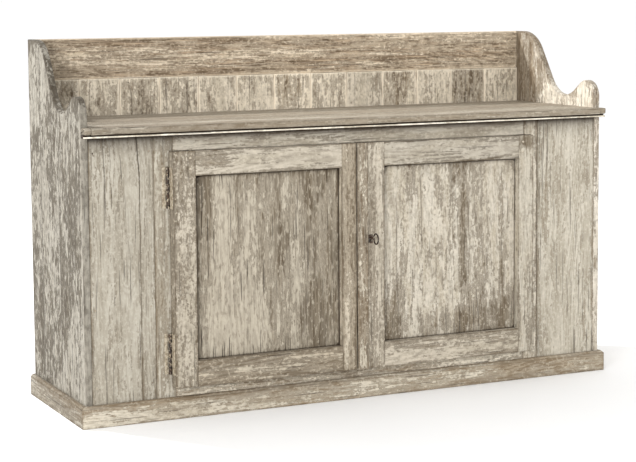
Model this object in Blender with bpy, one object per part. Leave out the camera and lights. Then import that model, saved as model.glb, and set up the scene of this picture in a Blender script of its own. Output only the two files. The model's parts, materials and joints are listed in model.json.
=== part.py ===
"""Antique pine icebox: a low, wide counter with two thick overlay doors and a scrolled gallery.

The case is a face frame and boards around an insulated, zinc-lined box. A partition splits the box
into an ice chamber on the left and a food chamber on the right, joined by air gaps above and below.

Metres, +Z up, X across the front, Y from front to back. "Setback" is the distance measured
backwards from the case's front face, so anything standing proud of the case has a negative setback.
"""
import math

import bmesh
import bpy
from mathutils import Matrix, Vector

# ---- driving dimensions -------------------------------------------------------------------------
GAP = 0.0003                    # clearance left between pieces that touch
CASE_WIDTH = 1.868
CASE_DEPTH = 0.536
COUNTER_HEIGHT = 0.919
OVERALL_HEIGHT = 1.174
BOARD = 0.022                   # thickness of the case's boards and face frame
KEY_REACH = 0.100               # how far the key's bow stands in front of the case

PLINTH_HEIGHT = 0.069
PLINTH_REACH = 0.016
PLINTH_CHAMFER = 0.008

NOSE_REACH = 0.040              # top board's overhang in front of the case
TOP_THICKNESS = 0.021
BEAD_HEIGHT = 0.0102
BEAD_REACH = 0.034

GALLERY_SPLIT = 1.041           # height where the slats end and the upper board begins
SLAT_SETBACK = 0.499
GALLERY_SETBACK = 0.504
SLAT_PITCH = 0.1405
SLAT_GROOVE = 0.004

FRONT_BOARD_WIDTH = 0.2085      # wide fixed board beside each door
LEFT_JAMB = -0.640              # edges of the two door openings
POST = (-0.046, 0.014)
RIGHT_JAMB = 0.627
RIGHT_STILE_EDGE = 0.681
SILL_TOP = 0.118
HEAD_BOTTOM = 0.816

DOOR_Z = (0.1015, 0.8385)
LEFT_DOOR_X = (-0.654, -0.0285)
RIGHT_DOOR_X = (-0.0265, 0.640)
DOOR_FACE = -0.042              # setbacks of the doors' front and back faces
DOOR_BACK = -0.003
PANEL_FACE = -0.017
TOP_RAIL_BOTTOM = 0.761
BOTTOM_RAIL_TOP = 0.183
LEFT_DOOR_STILES = (-0.581, -0.080)
RIGHT_DOOR_STILES = (0.073, 0.582)
PANEL_TONGUE = 0.008            # how far each panel reaches under its stiles and rails

INSULATION = 0.050
ZINC = 0.002
FLOOR_BOARD_Z = (0.034, 0.056)
PLUG_DEPTH = 0.042              # setback of the insulated plug's inner face
PLUG_CLEARANCE = 0.008
PLUG_TAPER = 0.006
GASKET_MARGIN = 0.004

PARTITION_X = (-0.026, -0.006)
PARTITION_Z = (0.165, 0.785)
RACK_SETBACK = (0.080, 0.455)
SHELF_HEIGHTS = {"lower_shelf": 0.340, "upper_shelf": 0.590}
SLAT_WIDTH = 0.028
SLAT_THICKNESS = 0.014
BEARER_HEIGHT = 0.018
BEARER_WIDTH = 0.020

DRAIN_AT = (-0.545, 0.300)      # X and setback of the drain's centre
DRAIN_RADIUS = 0.0125
DRAIN_BORE = 0.0105
DRAIN_FLANGE = 0.022
DRAIN_FOOT = 0.028

HINGE_LENGTH = 0.128
HINGE_TOPS = {"upper": 0.788, "lower": 0.270}
HINGE_OFFSET = 0.006            # pin's distance from the door's side and from the case's front
KNUCKLE_RADIUS = 0.0055
PIN_RADIUS = 0.0025
PIN_HOLE = 0.0030
KNUCKLES = 5
FRAME_LEAF_WIDTH = 0.017
DOOR_LEAF_WIDTH = 0.030
LEAF_THICKNESS = 0.002

LOCK = (0.021, 0.530)           # X and Z of the key's axis
STRIP_EDGE = 0.0125
STRIP_THICKNESS = 0.004
BOLT_Z = (0.5063, 0.5257)
BOLT_SETBACK = (-0.0215, -0.0105)

# ---- finishes: colour, roughness, metallic ------------------------------------------------------
PAINTED_PINE = ((0.62, 0.58, 0.49), 0.75, 0.0)
WORN_PINE = ((0.36, 0.30, 0.23), 0.80, 0.0)
BARE_PINE = ((0.48, 0.36, 0.23), 0.75, 0.0)
CORK = ((0.30, 0.19, 0.10), 0.95, 0.0)
ZINC_SHEET = ((0.50, 0.52, 0.53), 0.45, 0.9)
FELT = ((0.16, 0.14, 0.12), 0.95, 0.0)
IRON = ((0.09, 0.07, 0.06), 0.60, 0.8)
STEEL = ((0.22, 0.20, 0.18), 0.45, 0.9)

# ---- derived places -----------------------------------------------------------------------------
FRONT_Y = KEY_REACH / 2 - CASE_DEPTH / 2
BACK = CASE_DEPTH
HALF = CASE_WIDTH / 2
INSIDE = HALF - BOARD - GAP                 # inner faces of the side boards
TOP_UNDERSIDE = COUNTER_HEIGHT - TOP_THICKNESS
CASE_TOP = TOP_UNDERSIDE - GAP
FRAME_BACK = BOARD + GAP
BACK_PANEL_FRONT = BACK - BOARD - GAP
FLOOR_CORK_Z = (FLOOR_BOARD_Z[1] + GAP, FLOOR_BOARD_Z[1] + GAP + INSULATION - GAP)
LINER_FLOOR_Z = (FLOOR_CORK_Z[1] + GAP, FLOOR_CORK_Z[1] + GAP + ZINC)
CEILING_Z = (CASE_TOP - INSULATION, CASE_TOP - GAP)
WALL_Z = (FLOOR_CORK_Z[1] + GAP, CEILING_Z[0] - GAP)
CORK_FACE = INSIDE - INSULATION             # inner faces of the side insulation
ZINC_FACE = CORK_FACE - GAP - ZINC          # inner faces of the side liners
BACK_CORK_FRONT = BACK_PANEL_FRONT - GAP - INSULATION
RETURN_BACK = FRAME_BACK + INSULATION       # rear of the insulation behind the wide front boards
PIN_SETBACK = -HINGE_OFFSET
LEFT_PIN_X = LEFT_DOOR_X[0] - HINGE_OFFSET
RIGHT_PIN_X = RIGHT_DOOR_X[1] + HINGE_OFFSET


for leftover in list(bpy.data.objects):
    bpy.data.objects.remove(leftover, do_unlink=True)


# ---- making solids ------------------------------------------------------------------------------
def place(x, setback, z):
    """World position of a point given by its setback from the case's front face."""
    return Vector((x, FRONT_Y + setback, z))


def finished(name, look):
    """The sub-part's own Principled material."""
    colour, roughness, metallic = look
    material = bpy.data.materials.new(name + "_finish")
    material.use_nodes = True
    shader = material.node_tree.nodes["Principled BSDF"]
    shader.inputs["Base Color"].default_value = (*colour, 1.0)
    shader.inputs["Roughness"].default_value = roughness
    shader.inputs["Metallic"].default_value = metallic
    material.diffuse_color = (*colour, 1.0)
    return material


def object_from(name, look, mesh_builder):
    """Make one named object from an edited mesh, with its faces turned outwards."""
    bmesh.ops.recalc_face_normals(mesh_builder, faces=mesh_builder.faces[:])
    mesh = bpy.data.meshes.new(name)
    mesh_builder.to_mesh(mesh)
    mesh_builder.free()
    made = bpy.data.objects.new(name, mesh)
    bpy.context.scene.collection.objects.link(made)
    mesh.materials.append(finished(name, look))
    return made


def loft(name, look, near_loop, far_loop):
    """Closed body between two matching outlines of world points, capped at both ends."""
    editor = bmesh.new()
    near = [editor.verts.new(point) for point in near_loop]
    far = [editor.verts.new(point) for point in far_loop]
    editor.faces.new(near)
    editor.faces.new(far)
    for index in range(len(near)):
        following = (index + 1) % len(near)
        editor.faces.new((near[index], near[following], far[following], far[index]))
    return object_from(name, look, editor)


def box(name, look, x, setback, z):
    """Rectangular board from its extents across, front to back and in height."""
    low = place(x[0], setback[0], z[0])
    high = place(x[1], setback[1], z[1])
    editor = bmesh.new()
    bmesh.ops.create_cube(editor, size=1.0)
    bmesh.ops.scale(editor, vec=high - low, verts=editor.verts[:])
    bmesh.ops.translate(editor, vec=(low + high) / 2, verts=editor.verts[:])
    return object_from(name, look, editor)


def upright(name, look, plan, z):
    """Body of constant plan, a list of (x, setback) corners, standing between two heights."""
    lower = [place(x, setback, z[0]) for x, setback in plan]
    upper = [place(x, setback, z[1]) for x, setback in plan]
    return loft(name, look, lower, upper)


def rod(name, look, start, end, radius, sides=20):
    """Round bar between two world points."""
    along = end - start
    turn = along.to_track_quat("Z", "Y").to_matrix().to_4x4()
    editor = bmesh.new()
    bmesh.ops.create_cone(editor, cap_ends=True, segments=sides, radius1=radius, radius2=radius,
                          depth=along.length, matrix=Matrix.Translation((start + end) / 2) @ turn)
    made = object_from(name, look, editor)
    made.data.shade_smooth()
    made.data.set_sharp_from_angle(angle=math.radians(40))
    return made


def combine(target, tool, operation):
    """Apply an exact Boolean of the tool to the target, and take the tool away."""
    modifier = target.modifiers.new(tool.name, "BOOLEAN")
    modifier.operation = operation
    modifier.solver = "EXACT"
    modifier.object = tool
    with bpy.context.temp_override(object=target, active_object=target):
        bpy.ops.object.modifier_apply(modifier=modifier.name)
    tool_mesh = tool.data
    bpy.data.objects.remove(tool, do_unlink=True)
    bpy.data.meshes.remove(tool_mesh)
    return target


def carve(target, tool):
    return combine(target, tool, "DIFFERENCE")


def weld(target, tool):
    return combine(target, tool, "UNION")


def joint_axis(name, position):
    """Empty on a joint's axis, for the moving pieces to hang from."""
    axis = bpy.data.objects.new(name, None)
    axis.location = position
    axis.empty_display_size = 0.03
    bpy.context.scene.collection.objects.link(axis)
    return axis


def hang(piece, axis):
    """Parent a piece to a joint's axis without moving it."""
    piece.parent = axis
    piece.matrix_parent_inverse = Matrix.Translation(-axis.location)


# ---- side boards with their scrolled gables -----------------------------------------------------
def arc(centre, radius, start, end, steps):
    """Points on an arc; angles in degrees, 0 towards the back and 90 upwards."""
    points = []
    for step in range(steps + 1):
        angle = math.radians(start + (end - start) * step / steps)
        points.append((centre[0] + radius * math.cos(angle), centre[1] + radius * math.sin(angle)))
    return points


def cross_tangent(first, first_radius, second, second_radius):
    """Angles, in degrees, of the two directions in which a line touches both circles crosswise."""
    across = second[0] - first[0]
    up = second[1] - first[1]
    heading = math.degrees(math.atan2(up, across))
    spread = math.degrees(math.acos((first_radius + second_radius) / math.hypot(across, up)))
    return heading, spread


def gable_outline():
    """Side board's outline as (setback, height): shoulder, hollow and nub joined by tangents."""
    shoulder, shoulder_radius = (0.472, OVERALL_HEIGHT - 0.138), 0.138
    hollow, hollow_radius = (0.190, 1.070), 0.115
    nub, nub_radius = (0.056, 0.955), 0.056
    heading, spread = cross_tangent(shoulder, shoulder_radius, hollow, hollow_radius)
    leaves_shoulder = heading - spread
    joins_hollow = leaves_shoulder - 180
    heading, spread = cross_tangent(hollow, hollow_radius, nub, nub_radius)
    leaves_hollow = heading + spread
    joins_nub = leaves_hollow + 180
    outline = [(BACK, 0.0), (BACK, OVERALL_HEIGHT)]
    outline += arc(shoulder, shoulder_radius, 90, leaves_shoulder, 8)
    outline += arc(hollow, hollow_radius, joins_hollow, leaves_hollow, 12)
    outline += arc(nub, nub_radius, joins_nub, 180, 10)
    outline.append((0.0, 0.0))
    return outline


def side_board(name, x):
    outline = gable_outline()
    near = [place(x[0], setback, z) for setback, z in outline]
    far = [place(x[1], setback, z) for setback, z in outline]
    return loft(name, PAINTED_PINE, near, far)


side_board("left_side_board", (-HALF, -HALF + BOARD))
side_board("right_side_board", (HALF - BOARD, HALF))


# ---- counter top, bead and gallery --------------------------------------------------------------
top_plan = [(-INSIDE, -GAP), (-HALF, -GAP), (-HALF, -NOSE_REACH), (HALF, -NOSE_REACH),
            (HALF, -GAP), (INSIDE, -GAP), (INSIDE, SLAT_SETBACK - GAP), (-INSIDE, SLAT_SETBACK - GAP)]
upright("top_board", WORN_PINE, top_plan, (TOP_UNDERSIDE, COUNTER_HEIGHT))
box("top_bead", PAINTED_PINE, (-HALF, HALF), (-BEAD_REACH, -GAP), (CASE_TOP - BEAD_HEIGHT, CASE_TOP))
box("gallery_board", WORN_PINE, (-INSIDE, INSIDE), (GALLERY_SETBACK, BACK - GAP),
    (GALLERY_SPLIT, OVERALL_HEIGHT))


def grooved_plan(front, back):
    """Plan of a row of narrow boards: a flat front broken by a V-groove at each joint."""
    plan = [(-INSIDE, back), (-INSIDE, front)]
    joint = INSIDE - SLAT_PITCH * math.floor(2 * INSIDE / SLAT_PITCH)
    while joint < INSIDE - SLAT_GROOVE:
        plan += [(joint - SLAT_GROOVE / 2, front), (joint, front + SLAT_GROOVE),
                 (joint + SLAT_GROOVE / 2, front)]
        joint += SLAT_PITCH
    return plan + [(INSIDE, front), (INSIDE, back)]


upright("gallery_slats", WORN_PINE, grooved_plan(SLAT_SETBACK, BACK - GAP),
        (TOP_UNDERSIDE, GALLERY_SPLIT - GAP))


# ---- plinth: three mitred boards with a chamfered top edge --------------------------------------
PLINTH_PROFILE = [(GAP, 0.0), (PLINTH_REACH, 0.0), (PLINTH_REACH, PLINTH_HEIGHT - PLINTH_CHAMFER),
                  (PLINTH_REACH - PLINTH_CHAMFER, PLINTH_HEIGHT), (GAP, PLINTH_HEIGHT)]


def plinth_corner(side, mitre_gap):
    """Plinth's section on the mitre plane at one front corner; side is -1 left, +1 right."""
    return [place(side * (HALF + reach - mitre_gap), -reach, z) for reach, z in PLINTH_PROFILE]


def side_plinth(name, side):
    mitre = [place(side * (HALF + reach), -reach + GAP, z) for reach, z in PLINTH_PROFILE]
    rear = [place(side * (HALF + reach), BACK, z) for reach, z in PLINTH_PROFILE]
    return loft(name, PAINTED_PINE, mitre, rear)


loft("front_plinth", PAINTED_PINE, plinth_corner(-1, GAP), plinth_corner(1, GAP))
side_plinth("left_plinth", -1)
side_plinth("right_plinth", 1)


# ---- face frame, fixed front boards, back and bottom --------------------------------------------
LEFT_STILE_EDGE = -INSIDE + FRONT_BOARD_WIDTH
FACE = (0.0, BOARD)
box("left_front_board", PAINTED_PINE, (-INSIDE, LEFT_STILE_EDGE - GAP), FACE, (0.0, CASE_TOP))
box("left_frame_stile", PAINTED_PINE, (LEFT_STILE_EDGE, LEFT_JAMB), FACE, (0.0, CASE_TOP))
box("right_frame_stile", PAINTED_PINE, (RIGHT_JAMB, RIGHT_STILE_EDGE), FACE, (0.0, CASE_TOP))
box("right_front_board", PAINTED_PINE, (RIGHT_STILE_EDGE + GAP, INSIDE), FACE, (0.0, CASE_TOP))
FRAME_SPAN = (LEFT_JAMB + GAP, RIGHT_JAMB - GAP)
box("top_rail", PAINTED_PINE, FRAME_SPAN, FACE, (HEAD_BOTTOM, CASE_TOP))
box("sill_rail", PAINTED_PINE, FRAME_SPAN, FACE, (FLOOR_BOARD_Z[0], SILL_TOP))
box("centre_post", PAINTED_PINE, POST, FACE, (SILL_TOP + GAP, HEAD_BOTTOM - GAP))
box("back_panel", WORN_PINE, (-INSIDE, INSIDE), (BACK_PANEL_FRONT + GAP, BACK - GAP),
    (FLOOR_BOARD_Z[0], CASE_TOP))
DEPTH_INSIDE = (FRAME_BACK, BACK_PANEL_FRONT)
floor_board = box("floor_board", BARE_PINE, (-INSIDE, INSIDE), DEPTH_INSIDE, FLOOR_BOARD_Z)


# ---- insulation ---------------------------------------------------------------------------------
floor_cork = box("floor_insulation", CORK, (-INSIDE, INSIDE), DEPTH_INSIDE, FLOOR_CORK_Z)
box("ceiling_insulation", CORK, (-INSIDE, INSIDE), DEPTH_INSIDE, CEILING_Z)
box("back_insulation", CORK, (-INSIDE, INSIDE), (BACK_CORK_FRONT, BACK_PANEL_FRONT), WALL_Z)


def wrapped_wall(name, side, jamb):
    """L-shaped insulation: along the side board, then forward behind the wide front board."""
    edge = jamb + side * (ZINC + 3 * GAP + 0.002)
    plan = [(side * INSIDE, FRAME_BACK), (side * INSIDE, BACK_CORK_FRONT - GAP),
            (side * CORK_FACE, BACK_CORK_FRONT - GAP), (side * CORK_FACE, RETURN_BACK),
            (edge, RETURN_BACK), (edge, FRAME_BACK)]
    return upright(name, CORK, plan, WALL_Z)


wrapped_wall("left_insulation", -1, LEFT_JAMB)
wrapped_wall("right_insulation", 1, RIGHT_JAMB)


# ---- zinc liner ---------------------------------------------------------------------------------
LINER_BACK = BACK_CORK_FRONT - GAP
LINER_RETURN = RETURN_BACK + GAP
LINER_STEP = 0.002 + 2 * GAP                # liner's jamb face, set back from the opening's edge


def bent_liner(name, side, jamb):
    """One sheet folded along the side, across behind the front board and out along the jamb."""
    outer_jamb = jamb + side * (LINER_STEP + ZINC)
    inner_jamb = jamb + side * LINER_STEP
    plan = [(side * (ZINC_FACE + ZINC), LINER_BACK - ZINC - GAP),
            (side * ZINC_FACE, LINER_BACK - ZINC - GAP), (side * ZINC_FACE, LINER_RETURN + ZINC),
            (inner_jamb, LINER_RETURN + ZINC), (inner_jamb, FRAME_BACK),
            (outer_jamb, FRAME_BACK), (outer_jamb, LINER_RETURN),
            (side * (ZINC_FACE + ZINC), LINER_RETURN)]
    return upright(name, ZINC_SHEET, plan, WALL_Z)


bent_liner("left_liner", -1, LEFT_JAMB)
bent_liner("right_liner", 1, RIGHT_JAMB)
box("back_liner", ZINC_SHEET, (-CORK_FACE + GAP, CORK_FACE - GAP), (LINER_BACK - ZINC, LINER_BACK),
    WALL_Z)

FLOOR_SIDE = ZINC_FACE - GAP
STEP_SETBACK = LINER_RETURN + ZINC + GAP
LEFT_STEP = LEFT_JAMB - LINER_STEP + GAP
RIGHT_STEP = RIGHT_JAMB + LINER_STEP - GAP
liner_plan = [(-FLOOR_SIDE, STEP_SETBACK), (LEFT_STEP, STEP_SETBACK), (LEFT_STEP, FRAME_BACK),
              (RIGHT_STEP, FRAME_BACK), (RIGHT_STEP, STEP_SETBACK), (FLOOR_SIDE, STEP_SETBACK),
              (FLOOR_SIDE, LINER_BACK - ZINC - GAP), (-FLOOR_SIDE, LINER_BACK - ZINC - GAP)]
floor_liner = upright("floor_liner", ZINC_SHEET, liner_plan, LINER_FLOOR_Z)


# ---- drain: a flanged pipe down through the bottom ----------------------------------------------
def drain_hole(layer):
    """Drill one bottom layer for the pipe."""
    drill = rod("drill", IRON, place(*DRAIN_AT, 0.0), place(*DRAIN_AT, SILL_TOP), DRAIN_RADIUS + 2 * GAP,
                sides=24)
    return carve(layer, drill)


def drain_pipe():
    seat = LINER_FLOOR_Z[1] + GAP
    pipe = rod("drain_pipe", ZINC_SHEET, place(*DRAIN_AT, DRAIN_FOOT), place(*DRAIN_AT, seat + ZINC / 2),
               DRAIN_RADIUS, sides=24)
    weld(pipe, rod("flange", IRON, place(*DRAIN_AT, seat), place(*DRAIN_AT, seat + ZINC), DRAIN_FLANGE,
                   sides=24))
    carve(pipe, rod("bore", IRON, place(*DRAIN_AT, 0.0), place(*DRAIN_AT, SILL_TOP), DRAIN_BORE,
                    sides=24))
    return pipe


for bottom_layer in (floor_board, floor_cork, floor_liner):
    drain_hole(bottom_layer)
drain_pipe()


# ---- partition, ice rack and shelves ------------------------------------------------------------
box("partition", BARE_PINE, PARTITION_X, (FRAME_BACK, LINER_BACK - ZINC - GAP), PARTITION_Z)


def slatted_rack(name, x, foot):
    """Long slats nailed across short bearers; the bearers' feet are at the given height."""
    middle = foot + BEARER_HEIGHT
    slats = 8
    bearers = 5
    front, back = RACK_SETBACK
    spacing = (x[1] - x[0] - BEARER_WIDTH) / (bearers - 1)
    pitch = (back - front - SLAT_WIDTH) / (slats - 1)
    rack = box(name, BARE_PINE, (x[0], x[0] + BEARER_WIDTH), (front, back), (foot, middle))
    for index in range(slats):
        edge = front + pitch * index
        weld(rack, box("slat", BARE_PINE, x, (edge, edge + SLAT_WIDTH),
                       (middle - 0.002, middle + SLAT_THICKNESS)))
    for index in range(1, bearers):
        edge = x[0] + spacing * index
        weld(rack, box("bearer", BARE_PINE, (edge, edge + BEARER_WIDTH), (front, back), (foot, middle)))
    return rack


slatted_rack("ice_rack", (-ZINC_FACE + GAP, PARTITION_X[0] - GAP), LINER_FLOOR_Z[1] + GAP)
for shelf_name, shelf_foot in SHELF_HEIGHTS.items():
    slatted_rack(shelf_name, (PARTITION_X[1] + GAP, ZINC_FACE - GAP), shelf_foot)


# ---- doors --------------------------------------------------------------------------------------
def plug_block(name, x, z):
    """Insulated block behind a door, tapering inwards so that it clears the opening as it swings."""
    outer = [place(x[0], DOOR_BACK + GAP, z[0]), place(x[1], DOOR_BACK + GAP, z[0]),
             place(x[1], DOOR_BACK + GAP, z[1]), place(x[0], DOOR_BACK + GAP, z[1])]
    inner = [place(x[0] + PLUG_TAPER, PLUG_DEPTH, z[0] + PLUG_TAPER),
             place(x[1] - PLUG_TAPER, PLUG_DEPTH, z[0] + PLUG_TAPER),
             place(x[1] - PLUG_TAPER, PLUG_DEPTH, z[1] - PLUG_TAPER),
             place(x[0] + PLUG_TAPER, PLUG_DEPTH, z[1] - PLUG_TAPER)]
    return loft(name, ZINC_SHEET, outer, inner)


def gasket(name, door_x, opening_x):
    """Thin felt ring between the door's back and the frame, around the plug."""
    felt = (DOOR_BACK + GAP, -GAP)
    ring = box(name, FELT, (door_x[0] + GASKET_MARGIN, door_x[1] - GASKET_MARGIN), felt,
               (DOOR_Z[0] + GASKET_MARGIN, DOOR_Z[1] - GASKET_MARGIN))
    hole = box("hole", FELT, (opening_x[0] + GASKET_MARGIN, opening_x[1] - GASKET_MARGIN),
               (felt[0] - 0.01, felt[1] + 0.01), (SILL_TOP + GASKET_MARGIN, HEAD_BOTTOM - GASKET_MARGIN))
    return carve(ring, hole)


def door(side, door_x, stiles, opening_x, axis):
    """Framed and panelled door with its plug and gasket, all hung on the hinge pin's axis."""
    thickness = (DOOR_FACE, DOOR_BACK)
    names = ("outer_stile", "inner_stile") if side == "left" else ("inner_stile", "outer_stile")
    rails_x = (stiles[0] + GAP, stiles[1] - GAP)
    members = {
        names[0]: box(f"{side}_door_{names[0]}", PAINTED_PINE, (door_x[0], stiles[0]), thickness, DOOR_Z),
        names[1]: box(f"{side}_door_{names[1]}", PAINTED_PINE, (stiles[1], door_x[1]), thickness, DOOR_Z),
        "top_rail": box(f"{side}_door_top_rail", PAINTED_PINE, rails_x, thickness,
                        (TOP_RAIL_BOTTOM, DOOR_Z[1])),
        "bottom_rail": box(f"{side}_door_bottom_rail", PAINTED_PINE, rails_x, thickness,
                           (DOOR_Z[0], BOTTOM_RAIL_TOP))}
    panel_x = (stiles[0] - PANEL_TONGUE, stiles[1] + PANEL_TONGUE)
    panel_z = (BOTTOM_RAIL_TOP - PANEL_TONGUE, TOP_RAIL_BOTTOM + PANEL_TONGUE)
    for member in members.values():
        rebate = box("rebate", PAINTED_PINE, (panel_x[0] - GAP, panel_x[1] + GAP),
                     (PANEL_FACE - GAP, DOOR_BACK + 0.01), (panel_z[0] - GAP, panel_z[1] + GAP))
        carve(member, rebate)
    members["panel"] = box(f"{side}_door_panel", PAINTED_PINE, panel_x, (PANEL_FACE, DOOR_BACK), panel_z)
    plug_x = (opening_x[0] + PLUG_CLEARANCE, opening_x[1] - PLUG_CLEARANCE)
    plug_z = (SILL_TOP + PLUG_CLEARANCE, HEAD_BOTTOM - PLUG_CLEARANCE)
    members["plug"] = plug_block(f"{side}_door_plug", plug_x, plug_z)
    members["gasket"] = gasket(f"{side}_door_gasket", door_x, opening_x)
    for member in members.values():
        hang(member, axis)
    return members


left_axis = joint_axis("left_door_axis", place(LEFT_PIN_X, PIN_SETBACK, DOOR_Z[0]))
right_axis = joint_axis("right_door_axis", place(RIGHT_PIN_X, PIN_SETBACK, DOOR_Z[0]))
left_door = door("left", LEFT_DOOR_X, LEFT_DOOR_STILES, (LEFT_JAMB, POST[0]), left_axis)
right_door = door("right", RIGHT_DOOR_X, RIGHT_DOOR_STILES, (POST[1], RIGHT_JAMB), right_axis)


# ---- butt hinges: frame leaf with the pin, door leaf with its bored knuckles --------------------
def knuckle_span(top, index):
    """Lowest and highest points of one knuckle, counted from the top, with running clearance."""
    height = HINGE_LENGTH / KNUCKLES
    upper = top - height * index
    return upper - height + GAP, upper - GAP


def hinge_leaf(name, side, pin_x, top, on_door, axis):
    """One leaf: a plate, and on alternate knuckles a barrel with a web back to the plate.

    side is -1 for the left door and +1 for the right one.
    """
    away = side                                 # direction in X from the door towards the frame leaf
    clear = KNUCKLE_RADIUS + 2 * GAP
    if on_door:
        face = pin_x - away * (HINGE_OFFSET - GAP)
        plate_x = sorted((face, face + away * LEAF_THICKNESS))
        plate_setback = (PIN_SETBACK - DOOR_LEAF_WIDTH, PIN_SETBACK - clear)
        web_x = sorted((face + away * GAP, face + away * LEAF_THICKNESS))
        web_setback = (plate_setback[1] - 0.001, PIN_SETBACK)
    else:
        plate_x = sorted((pin_x + away * clear, pin_x + away * FRAME_LEAF_WIDTH))
        plate_setback = (-GAP - LEAF_THICKNESS, -GAP)
        web_x = sorted((pin_x, pin_x + away * (clear + 0.001)))
        web_setback = (-GAP - LEAF_THICKNESS, -2 * GAP)
    leaf = box(name, IRON, plate_x, plate_setback, (top - HINGE_LENGTH, top))
    for index in range(KNUCKLES):
        if (index % 2 == 1) != on_door:
            continue
        low, high = knuckle_span(top, index)
        weld(leaf, box("web", IRON, web_x, web_setback, (low, high)))
        weld(leaf, rod("barrel", IRON, place(pin_x, PIN_SETBACK, low), place(pin_x, PIN_SETBACK, high),
                       KNUCKLE_RADIUS, sides=16))
    pin_low = place(pin_x, PIN_SETBACK, top - HINGE_LENGTH + 0.005)
    pin_high = place(pin_x, PIN_SETBACK, top - 0.005)
    if on_door:
        drill_reach = Vector((0.0, 0.0, 0.02))
        carve(leaf, rod("pin_hole", IRON, pin_low - drill_reach, pin_high + drill_reach, PIN_HOLE,
                        sides=16))
        hang(leaf, axis)
    else:
        weld(leaf, rod("pin", IRON, pin_low, pin_high, PIN_RADIUS, sides=16))
    return leaf


for hinge_place, hinge_top in HINGE_TOPS.items():
    hinge_leaf(f"left_{hinge_place}_frame_leaf", -1, LEFT_PIN_X, hinge_top, False, None)
    hinge_leaf(f"left_{hinge_place}_door_leaf", -1, LEFT_PIN_X, hinge_top, True, left_axis)
    hinge_leaf(f"right_{hinge_place}_frame_leaf", 1, RIGHT_PIN_X, hinge_top, False, None)
    hinge_leaf(f"right_{hinge_place}_door_leaf", 1, RIGHT_PIN_X, hinge_top, True, right_axis)


# ---- lock: case and bolt in the right door, mortise in the left door ----------------------------
CASE_X = (-0.005, 0.047)
CASE_Z = (0.490, 0.570)
CASE_SETBACK = (-0.030, -0.003)
CASE_WALL = 0.002
BOLT_REACH = 0.058
MORTISE_DEPTH = 0.0155
BOLT_CLEARANCE = 0.002


def grown(span, amount):
    """Extent widened, or narrowed if negative, by the same amount at both ends."""
    return span[0] - amount, span[1] + amount


def keyhole(name, setback, clearance):
    """Cutter for the keyhole: a round hole over a slot for the key's bit."""
    lock_x, lock_z = LOCK
    hole = rod(name, IRON, place(lock_x, setback[0], lock_z), place(lock_x, setback[1], lock_z),
               0.0040 + clearance)
    slot = box(name + "_slot", IRON, grown((lock_x, lock_x), 0.0022 + clearance), setback,
               (lock_z - 0.0125 - clearance, lock_z))
    return weld(hole, slot)


lock_stile = right_door["inner_stile"]
carve(lock_stile, box("pocket", IRON, CASE_X, (CASE_SETBACK[0], 0.01), CASE_Z))
carve(lock_stile, box("bolt_channel", IRON, (RIGHT_DOOR_X[0] - 0.01, CASE_X[0] + 0.01),
                      grown(BOLT_SETBACK, BOLT_CLEARANCE), grown(BOLT_Z, BOLT_CLEARANCE)))
carve(lock_stile, keyhole("stile_keyhole", (DOOR_FACE - 0.01, CASE_SETBACK[0] + 0.005), 0.0))
carve(left_door["inner_stile"],
      box("bolt_mortise", IRON, (LEFT_DOOR_X[1] - MORTISE_DEPTH, LEFT_DOOR_X[1] + 0.01),
          grown(BOLT_SETBACK, BOLT_CLEARANCE + 0.0015), grown(BOLT_Z, BOLT_CLEARANCE + 0.002)))

lock_case = box("lock_case", IRON, grown(CASE_X, -GAP), grown(CASE_SETBACK, -GAP), grown(CASE_Z, -GAP))
carve(lock_case, box("hollow", IRON, grown(CASE_X, -CASE_WALL), grown(CASE_SETBACK, -CASE_WALL),
                     grown(CASE_Z, -CASE_WALL)))
carve(lock_case, box("bolt_slot", IRON, (CASE_X[0] - 0.01, CASE_X[0] + 0.01),
                     grown(BOLT_SETBACK, BOLT_CLEARANCE / 2), grown(BOLT_Z, BOLT_CLEARANCE / 2)))
carve(lock_case, keyhole("case_keyhole", (CASE_SETBACK[0] - 0.01, CASE_SETBACK[0] + 0.005), 0.0))
hang(lock_case, right_axis)

strip = box("closing_strip", PAINTED_PINE, (RIGHT_DOOR_X[0], STRIP_EDGE),
            (DOOR_FACE - GAP - STRIP_THICKNESS, DOOR_FACE - GAP), DOOR_Z)
hang(strip, right_axis)
plate = box("escutcheon", IRON, grown((LOCK[0], LOCK[0]), 0.0075), (DOOR_FACE - GAP - 0.0015, DOOR_FACE - GAP),
            (LOCK[1] - 0.018, LOCK[1] + 0.010))
carve(plate, keyhole("plate_keyhole", (DOOR_FACE - 0.01, DOOR_FACE + 0.01), 0.0))
hang(plate, right_axis)

bolt_rest = RIGHT_DOOR_X[0] + 0.0008
bolt_axis = joint_axis("lock_bolt_axis", place(bolt_rest, sum(BOLT_SETBACK) / 2, sum(BOLT_Z) / 2))
hang(bolt_axis, right_axis)
lock_bolt = box("lock_bolt", STEEL, (bolt_rest, bolt_rest + BOLT_REACH), BOLT_SETBACK, BOLT_Z)
hang(lock_bolt, bolt_axis)


# ---- key: ring bow, shank and bit ---------------------------------------------------------------
BOW_RADII = (0.0155, 0.0165)        # centre line of the bow's ring, front to back and in height
BOW_WIRE = 0.0025
SHANK_RADIUS = 0.0030
BIT_DROP = 0.0115
KEY_END = -0.0225


def ring_bow(name, centre):
    """Elliptical ring standing on edge in the key's own plane."""
    bpy.ops.mesh.primitive_torus_add(major_segments=24, minor_segments=8, major_radius=1.0,
                                     minor_radius=0.1)
    ring = bpy.context.object
    ring.name = name
    steps = 24
    for index, vertex in enumerate(ring.data.vertices):
        around = 2 * math.pi * (index // 8) / steps
        tube = 2 * math.pi * (index % 8) / 8
        reach = BOW_WIRE * math.cos(tube)
        vertex.co = (centre.x + BOW_WIRE * math.sin(tube),
                     centre.y + (BOW_RADII[0] + reach) * math.cos(around),
                     centre.z + (BOW_RADII[1] + reach) * math.sin(around))
    ring.data.materials.append(finished(name, IRON))
    return ring


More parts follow.
